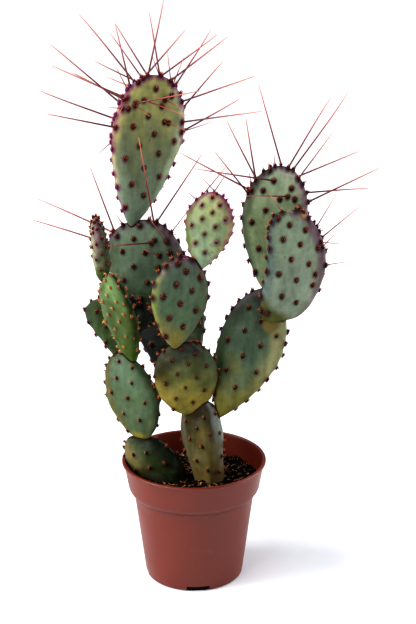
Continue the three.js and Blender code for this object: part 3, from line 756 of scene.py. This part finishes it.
def pad_skin(pad, points, number):
    """The skin of a pad on a grid: share of the length, crowded toward both ends, by angle round the section.
    Each point moves outward by the areoles' swellings, which are bell curves of the distance to them, by slow
    ripples, and on a stem by low ribs."""
    share = ((1 - np.cos(math.pi * np.arange(1, PAD_ROWS + 1) / (PAD_ROWS + 1))) / 2)[:, None]
    angle = section_angles(PAD_COLUMNS)[None]
    grid = skin(pad, share, angle)
    out = unit(np.cross(np.gradient(grid, axis=0), np.roll(grid, -1, 1) - np.roll(grid, 1, 1)))
    flat = grid.reshape(-1, 3)
    gaps = flat[:, None] - points[None]
    rise = gaps @ pad.up_way
    near = np.sqrt((gaps ** 2).sum(-1).min(1)).reshape(grid.shape[:2])
    drawn = (gaps ** 2).sum(-1) - np.where(rise < 0, 1 - RING_TAIL ** 2, 0) * rise ** 2
    ring = np.exp(-drawn.min(1) / RING_SPREAD ** 2).reshape(near.shape)
    ends = np.sin(math.pi * share) ** 0.5
    swell = SWELLING * np.exp(-(near / SWELLING_SPREAD) ** 2)
    slow = sum(height * ripple(flat, wavelength, SEED + seed + number).reshape(near.shape)
               for height, wavelength, seed in SKIN_RIPPLES)
    ribs = pad.look.ribs * np.cos(RIB_WAVES * angle + RIB_TWIST * share) * ends
    grid = grid + ((swell + slow * ends + ribs) * ends)[..., None] * out
    foot, tip = (skin(pad, np.array([end]), np.array([0.0])) for end in (0.0, 1.0))
    values = {"areole": ring, **skin_values(pad, share, angle, grid, number)}
    values = {key: np.concatenate([[v[0, 0]], v.ravel(), [v[-1, 0]]]) for key, v in values.items()}
    return np.concatenate([foot, grid.reshape(-1, 3), tip]), tube_faces(PAD_ROWS, PAD_COLUMNS), values


def skin_values(pad, share, angle, grid, number):
    """Numbers from 0 to 1 that the skin's material reads: foot and ripe by the share of the length, left and
    right by the place across as the camera sees it, for side colours that paint light and shade as well as
    the skin's own colour, blush by nearness to the outline round one place of the rim, rim by that nearness
    alone, the scar or painted-light patch by the distance to its middle, and cork by the depth in a pad that
    is joined there."""
    look = pad.look
    flat = grid.reshape(-1, 3)
    shape = grid.shape[:2]
    wander = WANDER * ripple(flat, WANDER_LENGTH, SEED + 80 + number).reshape(shape)
    across = (grid - grid.mean(1, keepdims=True)) @ directions(*pad.lean[:2], 0)[0]
    across = across / np.abs(across).max(1, keepdims=True)
    edge = signed_power(np.cos(angle), 2 / SECTION_POWER) + 0 * share
    rim = np.degrees(np.arccos(np.clip(2 * share - 1, -1, 1))) * np.sign(edge)
    inward = np.minimum((1 - np.abs(edge)) * half_width(pad, share), (1 - share) * pad.length)
    strength, middle, spread, depth = look.blush
    blush = strength * np.exp(-(inward / depth) ** 2) * np.exp(-((rim - middle) / spread) ** 2)
    uneven = ripple(flat, BLUSH_LENGTH, SEED + 120 + number).reshape(shape)
    # A dried scar, or a lighter patch of painted light where another pad casts its shadow.
    scar_or_painted_light = np.zeros(shape)
    if look.scar_or_painted_light:
        rim_angle, face, radius = look.scar_or_painted_light
        away = np.linalg.norm(grid - rim_point(pad, rim_angle, face), axis=-1)
        scar_or_painted_light = 1 - smooth_step(PATCH_EDGE * radius, radius, away * (1 + PATCH_WANDER * wander))
    cork = np.zeros(len(flat))
    for other in PADS:
        if other.on == pad.name or pad.on == other.name:
            cork = np.maximum(cork, 1 - smooth_step(*CORK_BAND, depth_in(other, flat, CORK_REACH)))

    def side(width, place):
        """A side's colour: all of it at the edge and none at the share width of the half width from it."""
        return smooth_step(1 - width, 1 - SIDE_FULL * width, place + SIDE_WANDER * wander)

    low, high = (look.reach * end for end in FOOT_BAND)
    return {
        "foot": 1 - smooth_step(low, high, share + look.tilt * across + wander),
        "ripe": smooth_step(*RIPE_BAND, share + wander),
        "left": side(look.left[1], -across),
        "right": side(look.right[1], across),
        "blush": np.clip(blush * (1 - BLUSH_UNEVEN + BLUSH_UNEVEN * uneven), 0, 1),
        "rim": np.exp(-(inward / RIM_DEPTH) ** 2),
        "cork": cork.reshape(shape),
        "scar_or_painted_light": scar_or_painted_light,
    }


CUSHION_SIDES = 6
# Radius and height of each ring of a cushion.
CUSHION_RINGS = ((1.75, -0.5), (1.55, 0.35), (0.9, 0.85))
CUSHION_TOP = 1.0
CUSHION_STRETCH = 0.4
# How far along the swelling a cushion sits, and how its size varies.
CUSHION_SEAT = 0.8
CUSHION_SIZES = (0.85, 1.15)
# How far the skin has to turn away from the face for the colour of the edge: none below, all above.
EDGE_BAND = (0.3, 0.8)

BRISTLES = 13
BRISTLE_SIDES = 3
BRISTLE_RADIUS = 0.22
BRISTLE_LENGTHS = (1.8, 3.8)
BRISTLE_LIFT = 0.5
BRISTLE_SPREAD = 0.6
BRISTLE_SPREADS = (0.6, 1.2)
BRISTLE_FOOT = 0.8
BRISTLE_FOOT_HEIGHT = 0.3
TUFT_RISE = 0.4


def cushions(points, ways, sizes, up_way):
    """A low dome on each areole: three rings and two poles about its direction, longer up the pad than across
    it."""
    rings = np.array(CUSHION_RINGS)
    ring = (rings[:, 1][:, None, None] * ways[:, None, None]
            + rings[:, 0][:, None, None] * spokes(ways, CUSHION_SIDES)[:, None])
    whole, faces = closed_skins(rings[0, 1] * ways, ring, CUSHION_TOP * ways)
    whole = whole + CUSHION_STRETCH * (whole @ up_way)[..., None] * up_way
    whole = points[:, None] + sizes[:, None, None] * whole
    return whole.reshape(-1, 3), faces


def bristles(points, ways, sizes, seed):
    """A tuft of thin pyramids on each areole, spread like a brush about its direction."""
    random = np.random.default_rng(seed)
    each = (len(points), BRISTLES)
    one, two = across_ways(ways)
    turn = random.uniform(0, 2 * math.pi, each)
    reach = np.sqrt(random.uniform(0, 1, each))
    lean = BRISTLE_SPREAD * reach * random.uniform(*BRISTLE_SPREADS, each)
    away = np.cos(turn)[..., None] * one[:, None] + np.sin(turn)[..., None] * two[:, None]
    heading = unit(ways[:, None] + lean[..., None] * away).reshape(-1, 3)
    foot = BRISTLE_FOOT * reach[..., None] * away + BRISTLE_FOOT_HEIGHT * ways[:, None]
    foot = (points[:, None] + sizes[:, None, None] * foot).reshape(-1, 3)
    length = (sizes[:, None] * random.uniform(*BRISTLE_LENGTHS, each)).ravel()
    ring = foot[:, None] + BRISTLE_RADIUS * spokes(heading, BRISTLE_SIDES)
    whole, faces = closed_skins(foot, ring[:, None], foot + length[:, None] * heading)
    return whole.reshape(-1, 3), faces, np.tile([0.0] * (1 + BRISTLE_SIDES) + [1.0], len(foot))


SPINE_ROWS = 12
SPINE_SIDES = 7
SPINE_RADIUS = 0.76
SPINE_TIP_RADIUS = 0.22
SPINE_BEND = 0.006
# Spines shorter than this are thinner in proportion, down to a share of the full radius.
SPINE_FULL_FROM = 55
SPINE_THINNEST = 0.6


def needles(pad, seed):
    """Long spines: a round section carried along a line that bends a little, thinning to a point by the root
    of what is left of its length."""
    random = np.random.default_rng(seed)
    spines = np.array(all_spines(pad), float)
    roots = np.array([rim_point(pad, spine[0], spine[1]) for spine in spines])
    ways = np.array([directions(spine[3], spine[4], 0)[1] for spine in spines])
    one, two = across_ways(ways)
    share = np.linspace(0, 1, SPINE_ROWS)
    length = spines[:, 2] + SPINE_SUNK
    bend = random.normal(0, SPINE_BEND, (2, len(spines), 1))
    sag = bend[0] * one + bend[1] * two
    line = ((roots - SPINE_SUNK * ways)[:, None] + (length[:, None] * share)[..., None] * ways[:, None]
            + (length[:, None] * share ** 2 * (1 - share) * 4)[..., None] * sag[:, None])
    radius = SPINE_TIP_RADIUS + (SPINE_RADIUS - SPINE_TIP_RADIUS) * (1 - share) ** 0.5
    thin = np.clip(length / SPINE_FULL_FROM, SPINE_THINNEST, 1)
    ring = line[:, :, None] + (thin[:, None] * radius)[..., None, None] * spokes(ways, SPINE_SIDES)[:, None]
    whole, faces = closed_skins(line[:, 0], ring, line[:, -1])
    reach = np.concatenate([[0], np.repeat(share, SPINE_SIDES), [1]])
    return whole.reshape(-1, 3), faces, np.tile(reach, len(spines))


def make_areoles(pad, points, ways, materials, number):
    """The felt cushions and tufts of bristles of a pad, as one piece."""
    normals = outward(pad, points)
    seats = points + CUSHION_SEAT * SWELLING * normals
    sizes = np.random.default_rng(SEED + 160 + number).uniform(*CUSHION_SIZES, len(points)) * pad.look.tuft
    domes, dome_faces = cushions(seats, ways, sizes, pad.up_way)
    brushed = unit(ways + BRISTLE_LIFT * pad.up_way)
    tufts, tuft_faces, reach = bristles(seats + TUFT_RISE * pad.up_way, brushed, sizes, SEED + 200 + number)
    tuft_faces = [each + len(domes) for each in tuft_faces]
    picks = np.repeat([0, 1], [sum(map(len, dome_faces)), sum(map(len, tuft_faces))])
    edge = smooth_step(*EDGE_BAND, 1 - np.abs(normals @ pad.front_way))
    values = {
        "reach": np.concatenate([np.zeros(len(domes)), reach]),
        "edge": np.concatenate([np.repeat(edge, len(each) // len(points)) for each in (domes, tufts)]),
    }
    make_piece(f"{pad.name}_areoles", np.concatenate([domes, tufts]), dome_faces + tuft_faces,
               materials, values, picks)


def make_pads():
    """Makes the skin, the areoles and the long spines of each pad."""
    areoles = {
        "grown": (areole_felt("areole_felt", "#140606", "#42190f", "#3c1810"),
                  barb("glochid_fibre", "#421109", "#a44422", "#e29248")),
        "young": (areole_felt("young_areole_felt", "#5c361c", "#a07040", "#7e532e"),
                  barb("young_glochid_fibre", "#86502a", "#bf8850", "#e2b882")),
        "flushed": (areole_felt("flushed_areole_felt", "#1c070c", "#4a1a1c", "#5a2440"),
                    barb("flushed_glochid_fibre", "#5c1a1c", "#b0482a", "#e8944e")),
    }
    spine = barb("spine_fibre", "#30090a", "#74201a", "#c27256")
    for number, pad in enumerate(PADS):
        points, ways = areoles_of(pad)
        whole, faces, values = pad_skin(pad, points, number)
        piece = make_piece(f"{pad.name}_skin", whole, faces,
                           [cactus_skin(f"cactus_skin_{pad.name}", pad.look)], values)
        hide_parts(pad.name)
        make_areoles(pad, points, ways, areoles[pad.look.areoles], number)
        if pad.spines:
            whole, faces, reach = needles(pad, SEED + 300 + number)
            make_piece(f"{pad.name}_spines", whole, faces, [spine], {"reach": reach})


# Pot and soil

POT_COLUMNS = 192
HOLE_COLUMNS = 24
CUTTER_PAST = 1
# Degrees between two faces from which their edge is sharp.
SHARP_FROM = 40
# Painted shade along the crease where the wall meets the collar's underside: its depth in millimetres and its
# strength.
CREASE_DEPTH = 0.7
CREASE_SHADE = 0.6
RUBBED_BAND = (-0.2, 0.9)
RUBBED_LENGTH = 30
# A point of the pot is on its outside when it lies this share of the wall past the inside.
OUTER_FROM = 0.4
# Corners of the pot's section from the middle of its floor over the lip to the middle of its underside:
# radius, height and how far from the corner its rounding starts.
POT_SECTION = (
    (pot_inner_radius(FLOOR), FLOOR, 1.0),
    (pot_inner_radius(INNER_WALL_TOP), INNER_WALL_TOP, 1.5),
    (pot_inner_radius(INNER_COLLAR_BOTTOM), INNER_COLLAR_BOTTOM, 1.5),
    (pot_inner_radius(POT_HEIGHT), POT_HEIGHT, 0.6),
    (LIP_RADIUS, POT_HEIGHT, 0.8),
    (LIP_RADIUS, POT_HEIGHT - LIP_DEPTH + LIP_SLOPE, 0.7),
    (COLLAR_TOP_RADIUS, POT_HEIGHT - LIP_DEPTH, 0.5),
    (COLLAR_BOTTOM_RADIUS, COLLAR_BOTTOM_HEIGHT, 3.2),
    (WALL_TOP_RADIUS, WALL_TOP_HEIGHT, 1.2),
    (BASE_RADIUS, 0, 2.6),
)
# Radius of the first and the last ring, next to the poles.
POLE_RING = 1.0
ROUND_STEPS = 5
RUN_STEPS = 10


def pot_outline():
    """The section with rounded corners: at each corner a parabola between the two points at its rounding from
    it, and even steps along the straight runs between them."""
    ends = np.array([(0, FLOOR), *[corner[:2] for corner in POT_SECTION], (0, 0)], float)
    t = np.linspace(0, 1, ROUND_STEPS)[:, None]
    run = np.linspace(0, 1, RUN_STEPS)[1:, None]
    line = [ends[:1] + [POLE_RING, 0.0]]
    for i, corner in enumerate(POT_SECTION, 1):
        before = ends[i] + corner[2] * unit(ends[i - 1] - ends[i])
        after = ends[i] + corner[2] * unit(ends[i + 1] - ends[i])
        start = line[-1][-1]
        line.append(start + run[:-1] * (before - start))
        line.append((1 - t) ** 2 * before + 2 * t * (1 - t) * ends[i] + t ** 2 * after)
    start = line[-1][-1]
    line.append(start + run * ([POLE_RING, 0.0] - start))
    return np.concatenate(line)


def turned(outline, top, bottom, columns):
    """An outline of radius and height turned about the Z axis, with a pole at each end."""
    angle = 2 * math.pi * np.arange(columns) / columns
    ring = np.stack([
        outline[:, :1] * np.cos(angle), outline[:, :1] * np.sin(angle), outline[:, 1:] + 0 * angle,
    ], -1)
    return np.concatenate([[[0, 0, top]], ring.reshape(-1, 3), [[0, 0, bottom]]])


def spun(points, turn):
    """Points turned about the Z axis by an angle in radians."""
    x, y, z = np.moveaxis(points, -1, 0)
    return np.stack([x * np.cos(turn) - y * np.sin(turn), x * np.sin(turn) + y * np.cos(turn), z], -1)


def spread_about_axis(points, first_at, count):
    """Copies of the points at even steps about the Z axis, the first one turned by first_at degrees."""
    return np.concatenate([spun(points, math.radians(first_at + 360 * i / count)) for i in range(count)])


def pot_cutter():
    """The boxes of the notches and the cylinders of the drain holes."""
    notch = np.array([(x, y, z) for z in (-CUTTER_PAST, NOTCH_HEIGHT)
                      for y in (-BASE_RADIUS - NOTCH_PAST, -BASE_RADIUS + NOTCH_REACH)
                      for x in (-NOTCH_WIDTH / 2, NOTCH_WIDTH / 2)])
    notch_faces = np.array([(0, 2, 3, 1), (4, 5, 7, 6), (0, 1, 5, 4), (2, 6, 7, 3), (0, 4, 6, 2), (1, 3, 7, 5)])
    notches = spread_about_axis(notch, NOTCH_FIRST_AT, NOTCH_COUNT)
    top, bottom = FLOOR + CUTTER_PAST, -CUTTER_PAST
    drill = np.array([(HOLE_RADIUS, top), (HOLE_RADIUS, bottom)], float)
    hole = turned(drill, top, bottom, HOLE_COLUMNS) + [HOLE_RING, 0, 0]
    holes = spread_about_axis(hole, HOLE_FIRST_AT, HOLE_COUNT)
    hole_faces = repeated(tube_faces(len(drill), HOLE_COLUMNS), len(hole), HOLE_COUNT)
    faces = repeated([notch_faces], len(notch), NOTCH_COUNT) + [each + len(notches) for each in hole_faces]
    return make_piece("cutter", np.concatenate([notches, holes]), faces, [], smooth=False)


def make_pot():
    """The turned shell with its notches and drain holes cut out, where it is rubbed, and the painted shade
    along the crease under the collar.
    """
    outline = pot_outline()
    whole = turned(outline, FLOOR, 0, POT_COLUMNS)
    piece = make_piece("pot_shell", whole, tube_faces(len(outline), POT_COLUMNS), [moulded_plastic()])
    cutter = pot_cutter()
    cut = piece.modifiers.new("openings", "BOOLEAN")
    cut.operation = "DIFFERENCE"
    cut.solver = "EXACT"
    cut.object = cutter
    bpy.context.view_layer.update()
    mesh = bpy.data.meshes.new_from_object(piece.evaluated_get(bpy.context.evaluated_depsgraph_get()))
    piece.modifiers.remove(cut)
    piece.data = mesh
    bpy.data.objects.remove(cutter)
    mesh.set_sharp_from_angle(angle=math.radians(SHARP_FROM))
    place = np.zeros(len(mesh.vertices) * 3, np.float32)
    mesh.vertices.foreach_get("co", place)
    place = place.reshape(-1, 3) / MILLIMETRE
    outer = np.hypot(place[:, 0], place[:, 1]) > pot_inner_radius(place[:, 2]) + OUTER_FROM * WALL
    # Painted shade along the crease at the top of the wall, on the outside only.
    crease = np.exp(-((place[:, 2] - WALL_TOP_HEIGHT) / CREASE_DEPTH) ** 2)
    rubbed = smooth_step(*RUBBED_BAND, ripple(place, RUBBED_LENGTH, SEED + 500))
    write_values(mesh, {"rubbed": rubbed * outer, "painted_crease_shade": CREASE_SHADE * crease * outer})
    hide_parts("pot")


SOIL_RINGS = 64
SOIL_COLUMNS = 200
# Height, wavelength and seed of the soil's ripples. The last ones are folded up into ridges.
SOIL_RIPPLES = ((0.8, 16, 600), (0.55, 6, 601))
SOIL_RIDGES = (0.4, 2.6, 602)
SOIL_LOWERED = 0.6
HEAP_HEIGHT = 1.6
HEAP_BAND = (0.9, 2.6)
HEAP_MARGIN = 1.5
WALL_FALL = 1.2
WALL_FALL_REACH = 2
# Gaps between the soil and the pot's wall, heights of the soil's side below the collar, and its underside.
SOIL_GAP = 0.4
SOIL_LOW_GAP = 0.5
SOIL_LOW_HEIGHTS = (40, 20, 9, 7, 5.5, 4.5, 3.5, 2.7)
SOIL_FOOT_GAP = 1.2
SOIL_FOOT = FLOOR + 0.3


def soil_height(x, y):
    """Height of the soil's surface: its level and ripples of three sizes, a low heap round each rooted stem and
    a fall at the wall."""
    place = np.stack([x, y, 0 * x], -1)
    relief = sum(height * ripple(place, wavelength, SEED + seed) for height, wavelength, seed in SOIL_RIPPLES)
    height, wavelength, seed = SOIL_RIDGES
    relief = relief + height * np.abs(ripple(place, wavelength, SEED + seed))
    at_surface = place + [0, 0, SOIL_SURFACE]
    for pad in PADS:
        if not pad.on:
            away = smooth_step(*HEAP_BAND, depth_in(pad, at_surface, HEAP_MARGIN))
            relief = relief + HEAP_HEIGHT * (1 - away)
    edge = pot_inner_radius(SOIL_SURFACE) - np.hypot(x, y)
    return SOIL_SURFACE - SOIL_LOWERED + relief - WALL_FALL * np.exp(-edge / WALL_FALL_REACH)


def make_soil():
    """The soil's top, a turned grid whose heights follow soil_height, and its side and underside inside the
    pot."""
    radii = (pot_inner_radius(SOIL_SURFACE) - SOIL_GAP) * np.linspace(0, 1, SOIL_RINGS + 1)[1:]
    side = np.array([
        *[(pot_inner_radius(height) - SOIL_GAP, height) for height in (INNER_COLLAR_BOTTOM, INNER_WALL_TOP)],
        *[(pot_inner_radius(height) - SOIL_LOW_GAP, height) for height in SOIL_LOW_HEIGHTS],
        (pot_inner_radius(FLOOR) - SOIL_FOOT_GAP, SOIL_FOOT),
    ])
    outline = np.concatenate([np.stack([radii, 0 * radii + SOIL_SURFACE], -1), side])
    whole = turned(outline, SOIL_SURFACE, SOIL_FOOT, SOIL_COLUMNS)
    top = slice(0, 1 + SOIL_RINGS * SOIL_COLUMNS)
    whole[top, 2] = soil_height(whole[top, 0], whole[top, 1])
    piece = make_piece("soil_bed", whole, tube_faces(len(outline), SOIL_COLUMNS), [peat_soil()])
    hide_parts("soil")


PLUG_ROWS = 14
PLUG_COLUMNS = 40
PLUG_CLEAR_OF_NOTCH = 0.3
PLUG_CLEAR_OF_FLOOR = 0.1
PLUG_DEPTH = 6.6
PLUG_MIDDLE = 4.4
PLUG_ROUGHNESS = 0.06
PLUG_RIPPLE = 3


def make_plugs():
    """Soil that fills the notches at the edge of the base: a boxy ball, whose points are the cube roots of a
    ball's three coordinates times its half sizes, made rough by ripples. Its middle stands in from the edge."""
    polar = math.pi * np.arange(1, PLUG_ROWS + 1) / (PLUG_ROWS + 1)
    ball = turned(np.stack([np.sin(polar), np.cos(polar)], -1), 1, -1, PLUG_COLUMNS)
    half = np.array([
        NOTCH_WIDTH / 2 - PLUG_CLEAR_OF_NOTCH, PLUG_DEPTH / 2, NOTCH_HEIGHT / 2 - PLUG_CLEAR_OF_FLOOR,
    ])
    plug = signed_power(ball, 1 / 3) * half
    plug = plug * (1 - PLUG_ROUGHNESS * np.abs(ripple(plug, PLUG_RIPPLE, SEED + 650))[:, None])
    plug = plug + [0, PLUG_MIDDLE - BASE_RADIUS, NOTCH_HEIGHT / 2]
    faces = repeated(tube_faces(PLUG_ROWS, PLUG_COLUMNS), len(plug), NOTCH_COUNT)
    make_piece("soil_plugs", spread_about_axis(plug, NOTCH_FIRST_AT, NOTCH_COUNT), faces, [peat_soil()])


LITTER_CLEAR_OF_WALL = 2
LITTER_CLEAR_OF_STEMS = 0.5

CRUMBS = 2600
CRUMB_SIDES = 5
CRUMB_RING = 0.9
CRUMB_RING_HEIGHT = 0.45
CRUMB_TWIST = 0.63
CRUMB_SMALLEST = 0.45
CRUMB_GROWTH = 1.1
CRUMB_RARITY = 2.2
CRUMB_ROUGHNESS = 0.3
CRUMB_STRETCH = (0.6, 1.2)
CRUMB_LIFT = 0.1

FIBRES = 620
FIBRE_ROWS = 4
FIBRE_SHORTEST = 1.6
FIBRE_GROWTH = 5.5
FIBRE_RARITY = 3
FIBRE_SLOPE = 0.22
FIBRE_BOW = 0.3
FIBRE_LIFT = 0.5
FIBRE_HALF_WIDTHS = (0.25, 0.75)
FIBRE_TAPER = (0.6, 1.0, 1.0, 0.6)
FIBRE_FLATNESS = 0.6
FIBRE_POINT = 0.12
FIBRE_TONE_POWER = 1.2


def on_soil(random, count):
    """Random places on the soil's surface that are clear of the stems and the wall."""
    wall = pot_inner_radius(SOIL_SURFACE) - LITTER_CLEAR_OF_WALL
    tried = 2 * count
    radius = wall * np.sqrt(random.uniform(0, 1, tried))
    angle = random.uniform(0, 2 * math.pi, tried)
    x, y = radius * np.cos(angle), radius * np.sin(angle)
    points = np.stack([x, y, soil_height(x, y)], -1)
    free = np.full(tried, True)
    for pad in PADS:
        if not pad.on:
            free &= depth_in(pad, points, LITTER_CLEAR_OF_STEMS) > 1
    return points[free][:count]


def make_crumbs():
    """Crumbs of peat: a ball of two five-sided rings and two poles, each point moved at random, stretched and
    turned, half sunk in the surface."""
    random = np.random.default_rng(SEED + 700)
    places = on_soil(random, CRUMBS)
    count = len(places)
    angle = 2 * math.pi * np.arange(CRUMB_SIDES) / CRUMB_SIDES
    rings = [
        spun(np.stack([CRUMB_RING * np.cos(angle), CRUMB_RING * np.sin(angle), 0 * angle + height], -1), twist)
        for twist, height in ((0, CRUMB_RING_HEIGHT), (CRUMB_TWIST, -CRUMB_RING_HEIGHT))
    ]
    ball = np.concatenate([[[0, 0, 1.0]], *rings, [[0, 0, -1.0]]])
    size = CRUMB_SMALLEST + CRUMB_GROWTH * random.uniform(0, 1, (count, 1, 1)) ** CRUMB_RARITY
    rough = 1 + random.uniform(-CRUMB_ROUGHNESS, CRUMB_ROUGHNESS, (count, len(ball), 1))
    shape = ball * rough * random.uniform(*CRUMB_STRETCH, (count, 1, 3))
    turn = random.uniform(0, 2 * math.pi, (count, 1))
    whole = places[:, None] + spun(shape, turn) * size + [0, 0, CRUMB_LIFT]
    faces = repeated(tube_faces(len(rings), CRUMB_SIDES), len(ball), count)
    make_piece("soil_crumbs", whole, faces, [peat_soil()], smooth=False)


def make_fibres():
    """Shreds of coir and bark: a flat four-sided section carried along a short bent line that lies on the soil,
    pointed at both ends."""
    random = np.random.default_rng(SEED + 800)
    places = on_soil(random, FIBRES)
    count = len(places)
    share = np.linspace(-0.5, 0.5, FIBRE_ROWS)
    turn = random.uniform(0, math.pi, count)
    way = np.stack([np.cos(turn), np.sin(turn), random.normal(0, FIBRE_SLOPE, count)], -1)
    flat = np.stack([-np.sin(turn), np.cos(turn), 0 * turn], -1)
    bow = flat * random.normal(0, FIBRE_BOW, (count, 1))
    length = FIBRE_SHORTEST + FIBRE_GROWTH * random.uniform(0, 1, count) ** FIBRE_RARITY
    line = (places[:, None] + (length[:, None] * share)[..., None] * way[:, None]
            + (length[:, None] * (0.25 - share ** 2))[..., None] * bow[:, None] + [0, 0, FIBRE_LIFT])
    broad = random.uniform(*FIBRE_HALF_WIDTHS, count)[:, None] * np.array(FIBRE_TAPER)
    corners = np.array([(1, 0), (0, -FIBRE_FLATNESS), (-1, 0), (0, FIBRE_FLATNESS)], float)
    section = corners[:, :1] * flat[:, None, None] + corners[:, 1:] * np.array([0.0, 0.0, 1.0])
    ends = way * (length * FIBRE_POINT)[:, None]
    whole, faces = closed_skins(
        line[:, 0] - ends, line[:, :, None] + broad[..., None, None] * section, line[:, -1] + ends)
    tone = np.repeat(random.uniform(0, 1, count) ** FIBRE_TONE_POWER, whole.shape[1])
    make_piece("soil_fibres", whole, faces, [dry_fibre()], {"tone": tone})


# Studio, in metres

STUDIO_FLOOR = [(-6, -6, 0), (6, -6, 0), (6, 9, 0), (-6, 9, 0)]
ROOM_COLOUR = "#f4f8ff"
ROOM_STRENGTH = 0.38
LIGHTS_AIM = (0.0, 0.0, 0.22)
# Name, kind, place and settings of each light.
LIGHTS = (
    ("window", "SUN", (-0.9, -0.12, 0.95), {"energy": 3.0, "angle": math.radians(40)}),
    ("left_softbox", "AREA", (-1.0, -0.9, 0.8),
     {"energy": 15.5, "shape": "RECTANGLE", "size": 1.4, "size_y": 1.1}),
    ("right_softbox", "AREA", (1.15, 0.3, 0.5),
     {"energy": 15.5, "shape": "RECTANGLE", "size": 0.9, "size_y": 1.1}),
)
# The camera that the photograph was taken with, as worked out from the pot's rim and base.
CAMERA_PITCH = math.radians(19.61)
CAMERA_DISTANCE = 1.4
CAMERA_TARGET = Vector((0.01166, 0.0, 0.23251))
CAMERA_LENS = 99.85
CAMERA_SENSOR = 36
CAMERA_SEES_TO = 50


def make_studio():
    """Makes the floor, the world, the lights and the camera."""
    scene = bpy.context.scene
    mesh = bpy.data.meshes.new("floor")
    mesh.from_pydata(STUDIO_FLOOR, [], [(0, 1, 2, 3)])
    mesh.materials.append(studio_paper())
    floor = bpy.data.objects.new("floor", mesh)
    scene.collection.objects.link(floor)

    world = bpy.data.worlds.new("white_room")
    world.use_nodes = True
    background = world.node_tree.nodes["Background"]
    background.inputs["Color"].default_value = linear(ROOM_COLOUR)
    background.inputs["Strength"].default_value = ROOM_STRENGTH
    scene.world = world
    scene.view_settings.view_transform = "Standard"
    scene.view_settings.look = "High Contrast"

    for name, kind, place, settings in LIGHTS:
        data = bpy.data.lights.new(name, kind)
        for key, value in settings.items():
            setattr(data, key, value)
        light = bpy.data.objects.new(name, data)
        light.location = place
        light.rotation_euler = (Vector(LIGHTS_AIM) - light.location).to_track_quat("-Z", "Y").to_euler()
        scene.collection.objects.link(light)

    data = bpy.data.cameras.new("camera")
    data.sensor_fit = "AUTO"
    data.sensor_width = CAMERA_SENSOR
    data.lens = CAMERA_LENS
    data.clip_end = CAMERA_SEES_TO
    camera = bpy.data.objects.new("camera", data)
    back = Vector((0, math.cos(CAMERA_PITCH), -math.sin(CAMERA_PITCH)))
    camera.location = CAMERA_TARGET - CAMERA_DISTANCE * back
    camera.rotation_euler = (math.pi / 2 - CAMERA_PITCH, 0, 0)
    scene.collection.objects.link(camera)
    scene.camera = camera


make_studio()
grow_pads()
make_pads()
make_pot()
make_soil()
make_plugs()
make_crumbs()
make_fibres()


def numbers(box):
    return [[float(value) for value in corner] for corner in box]
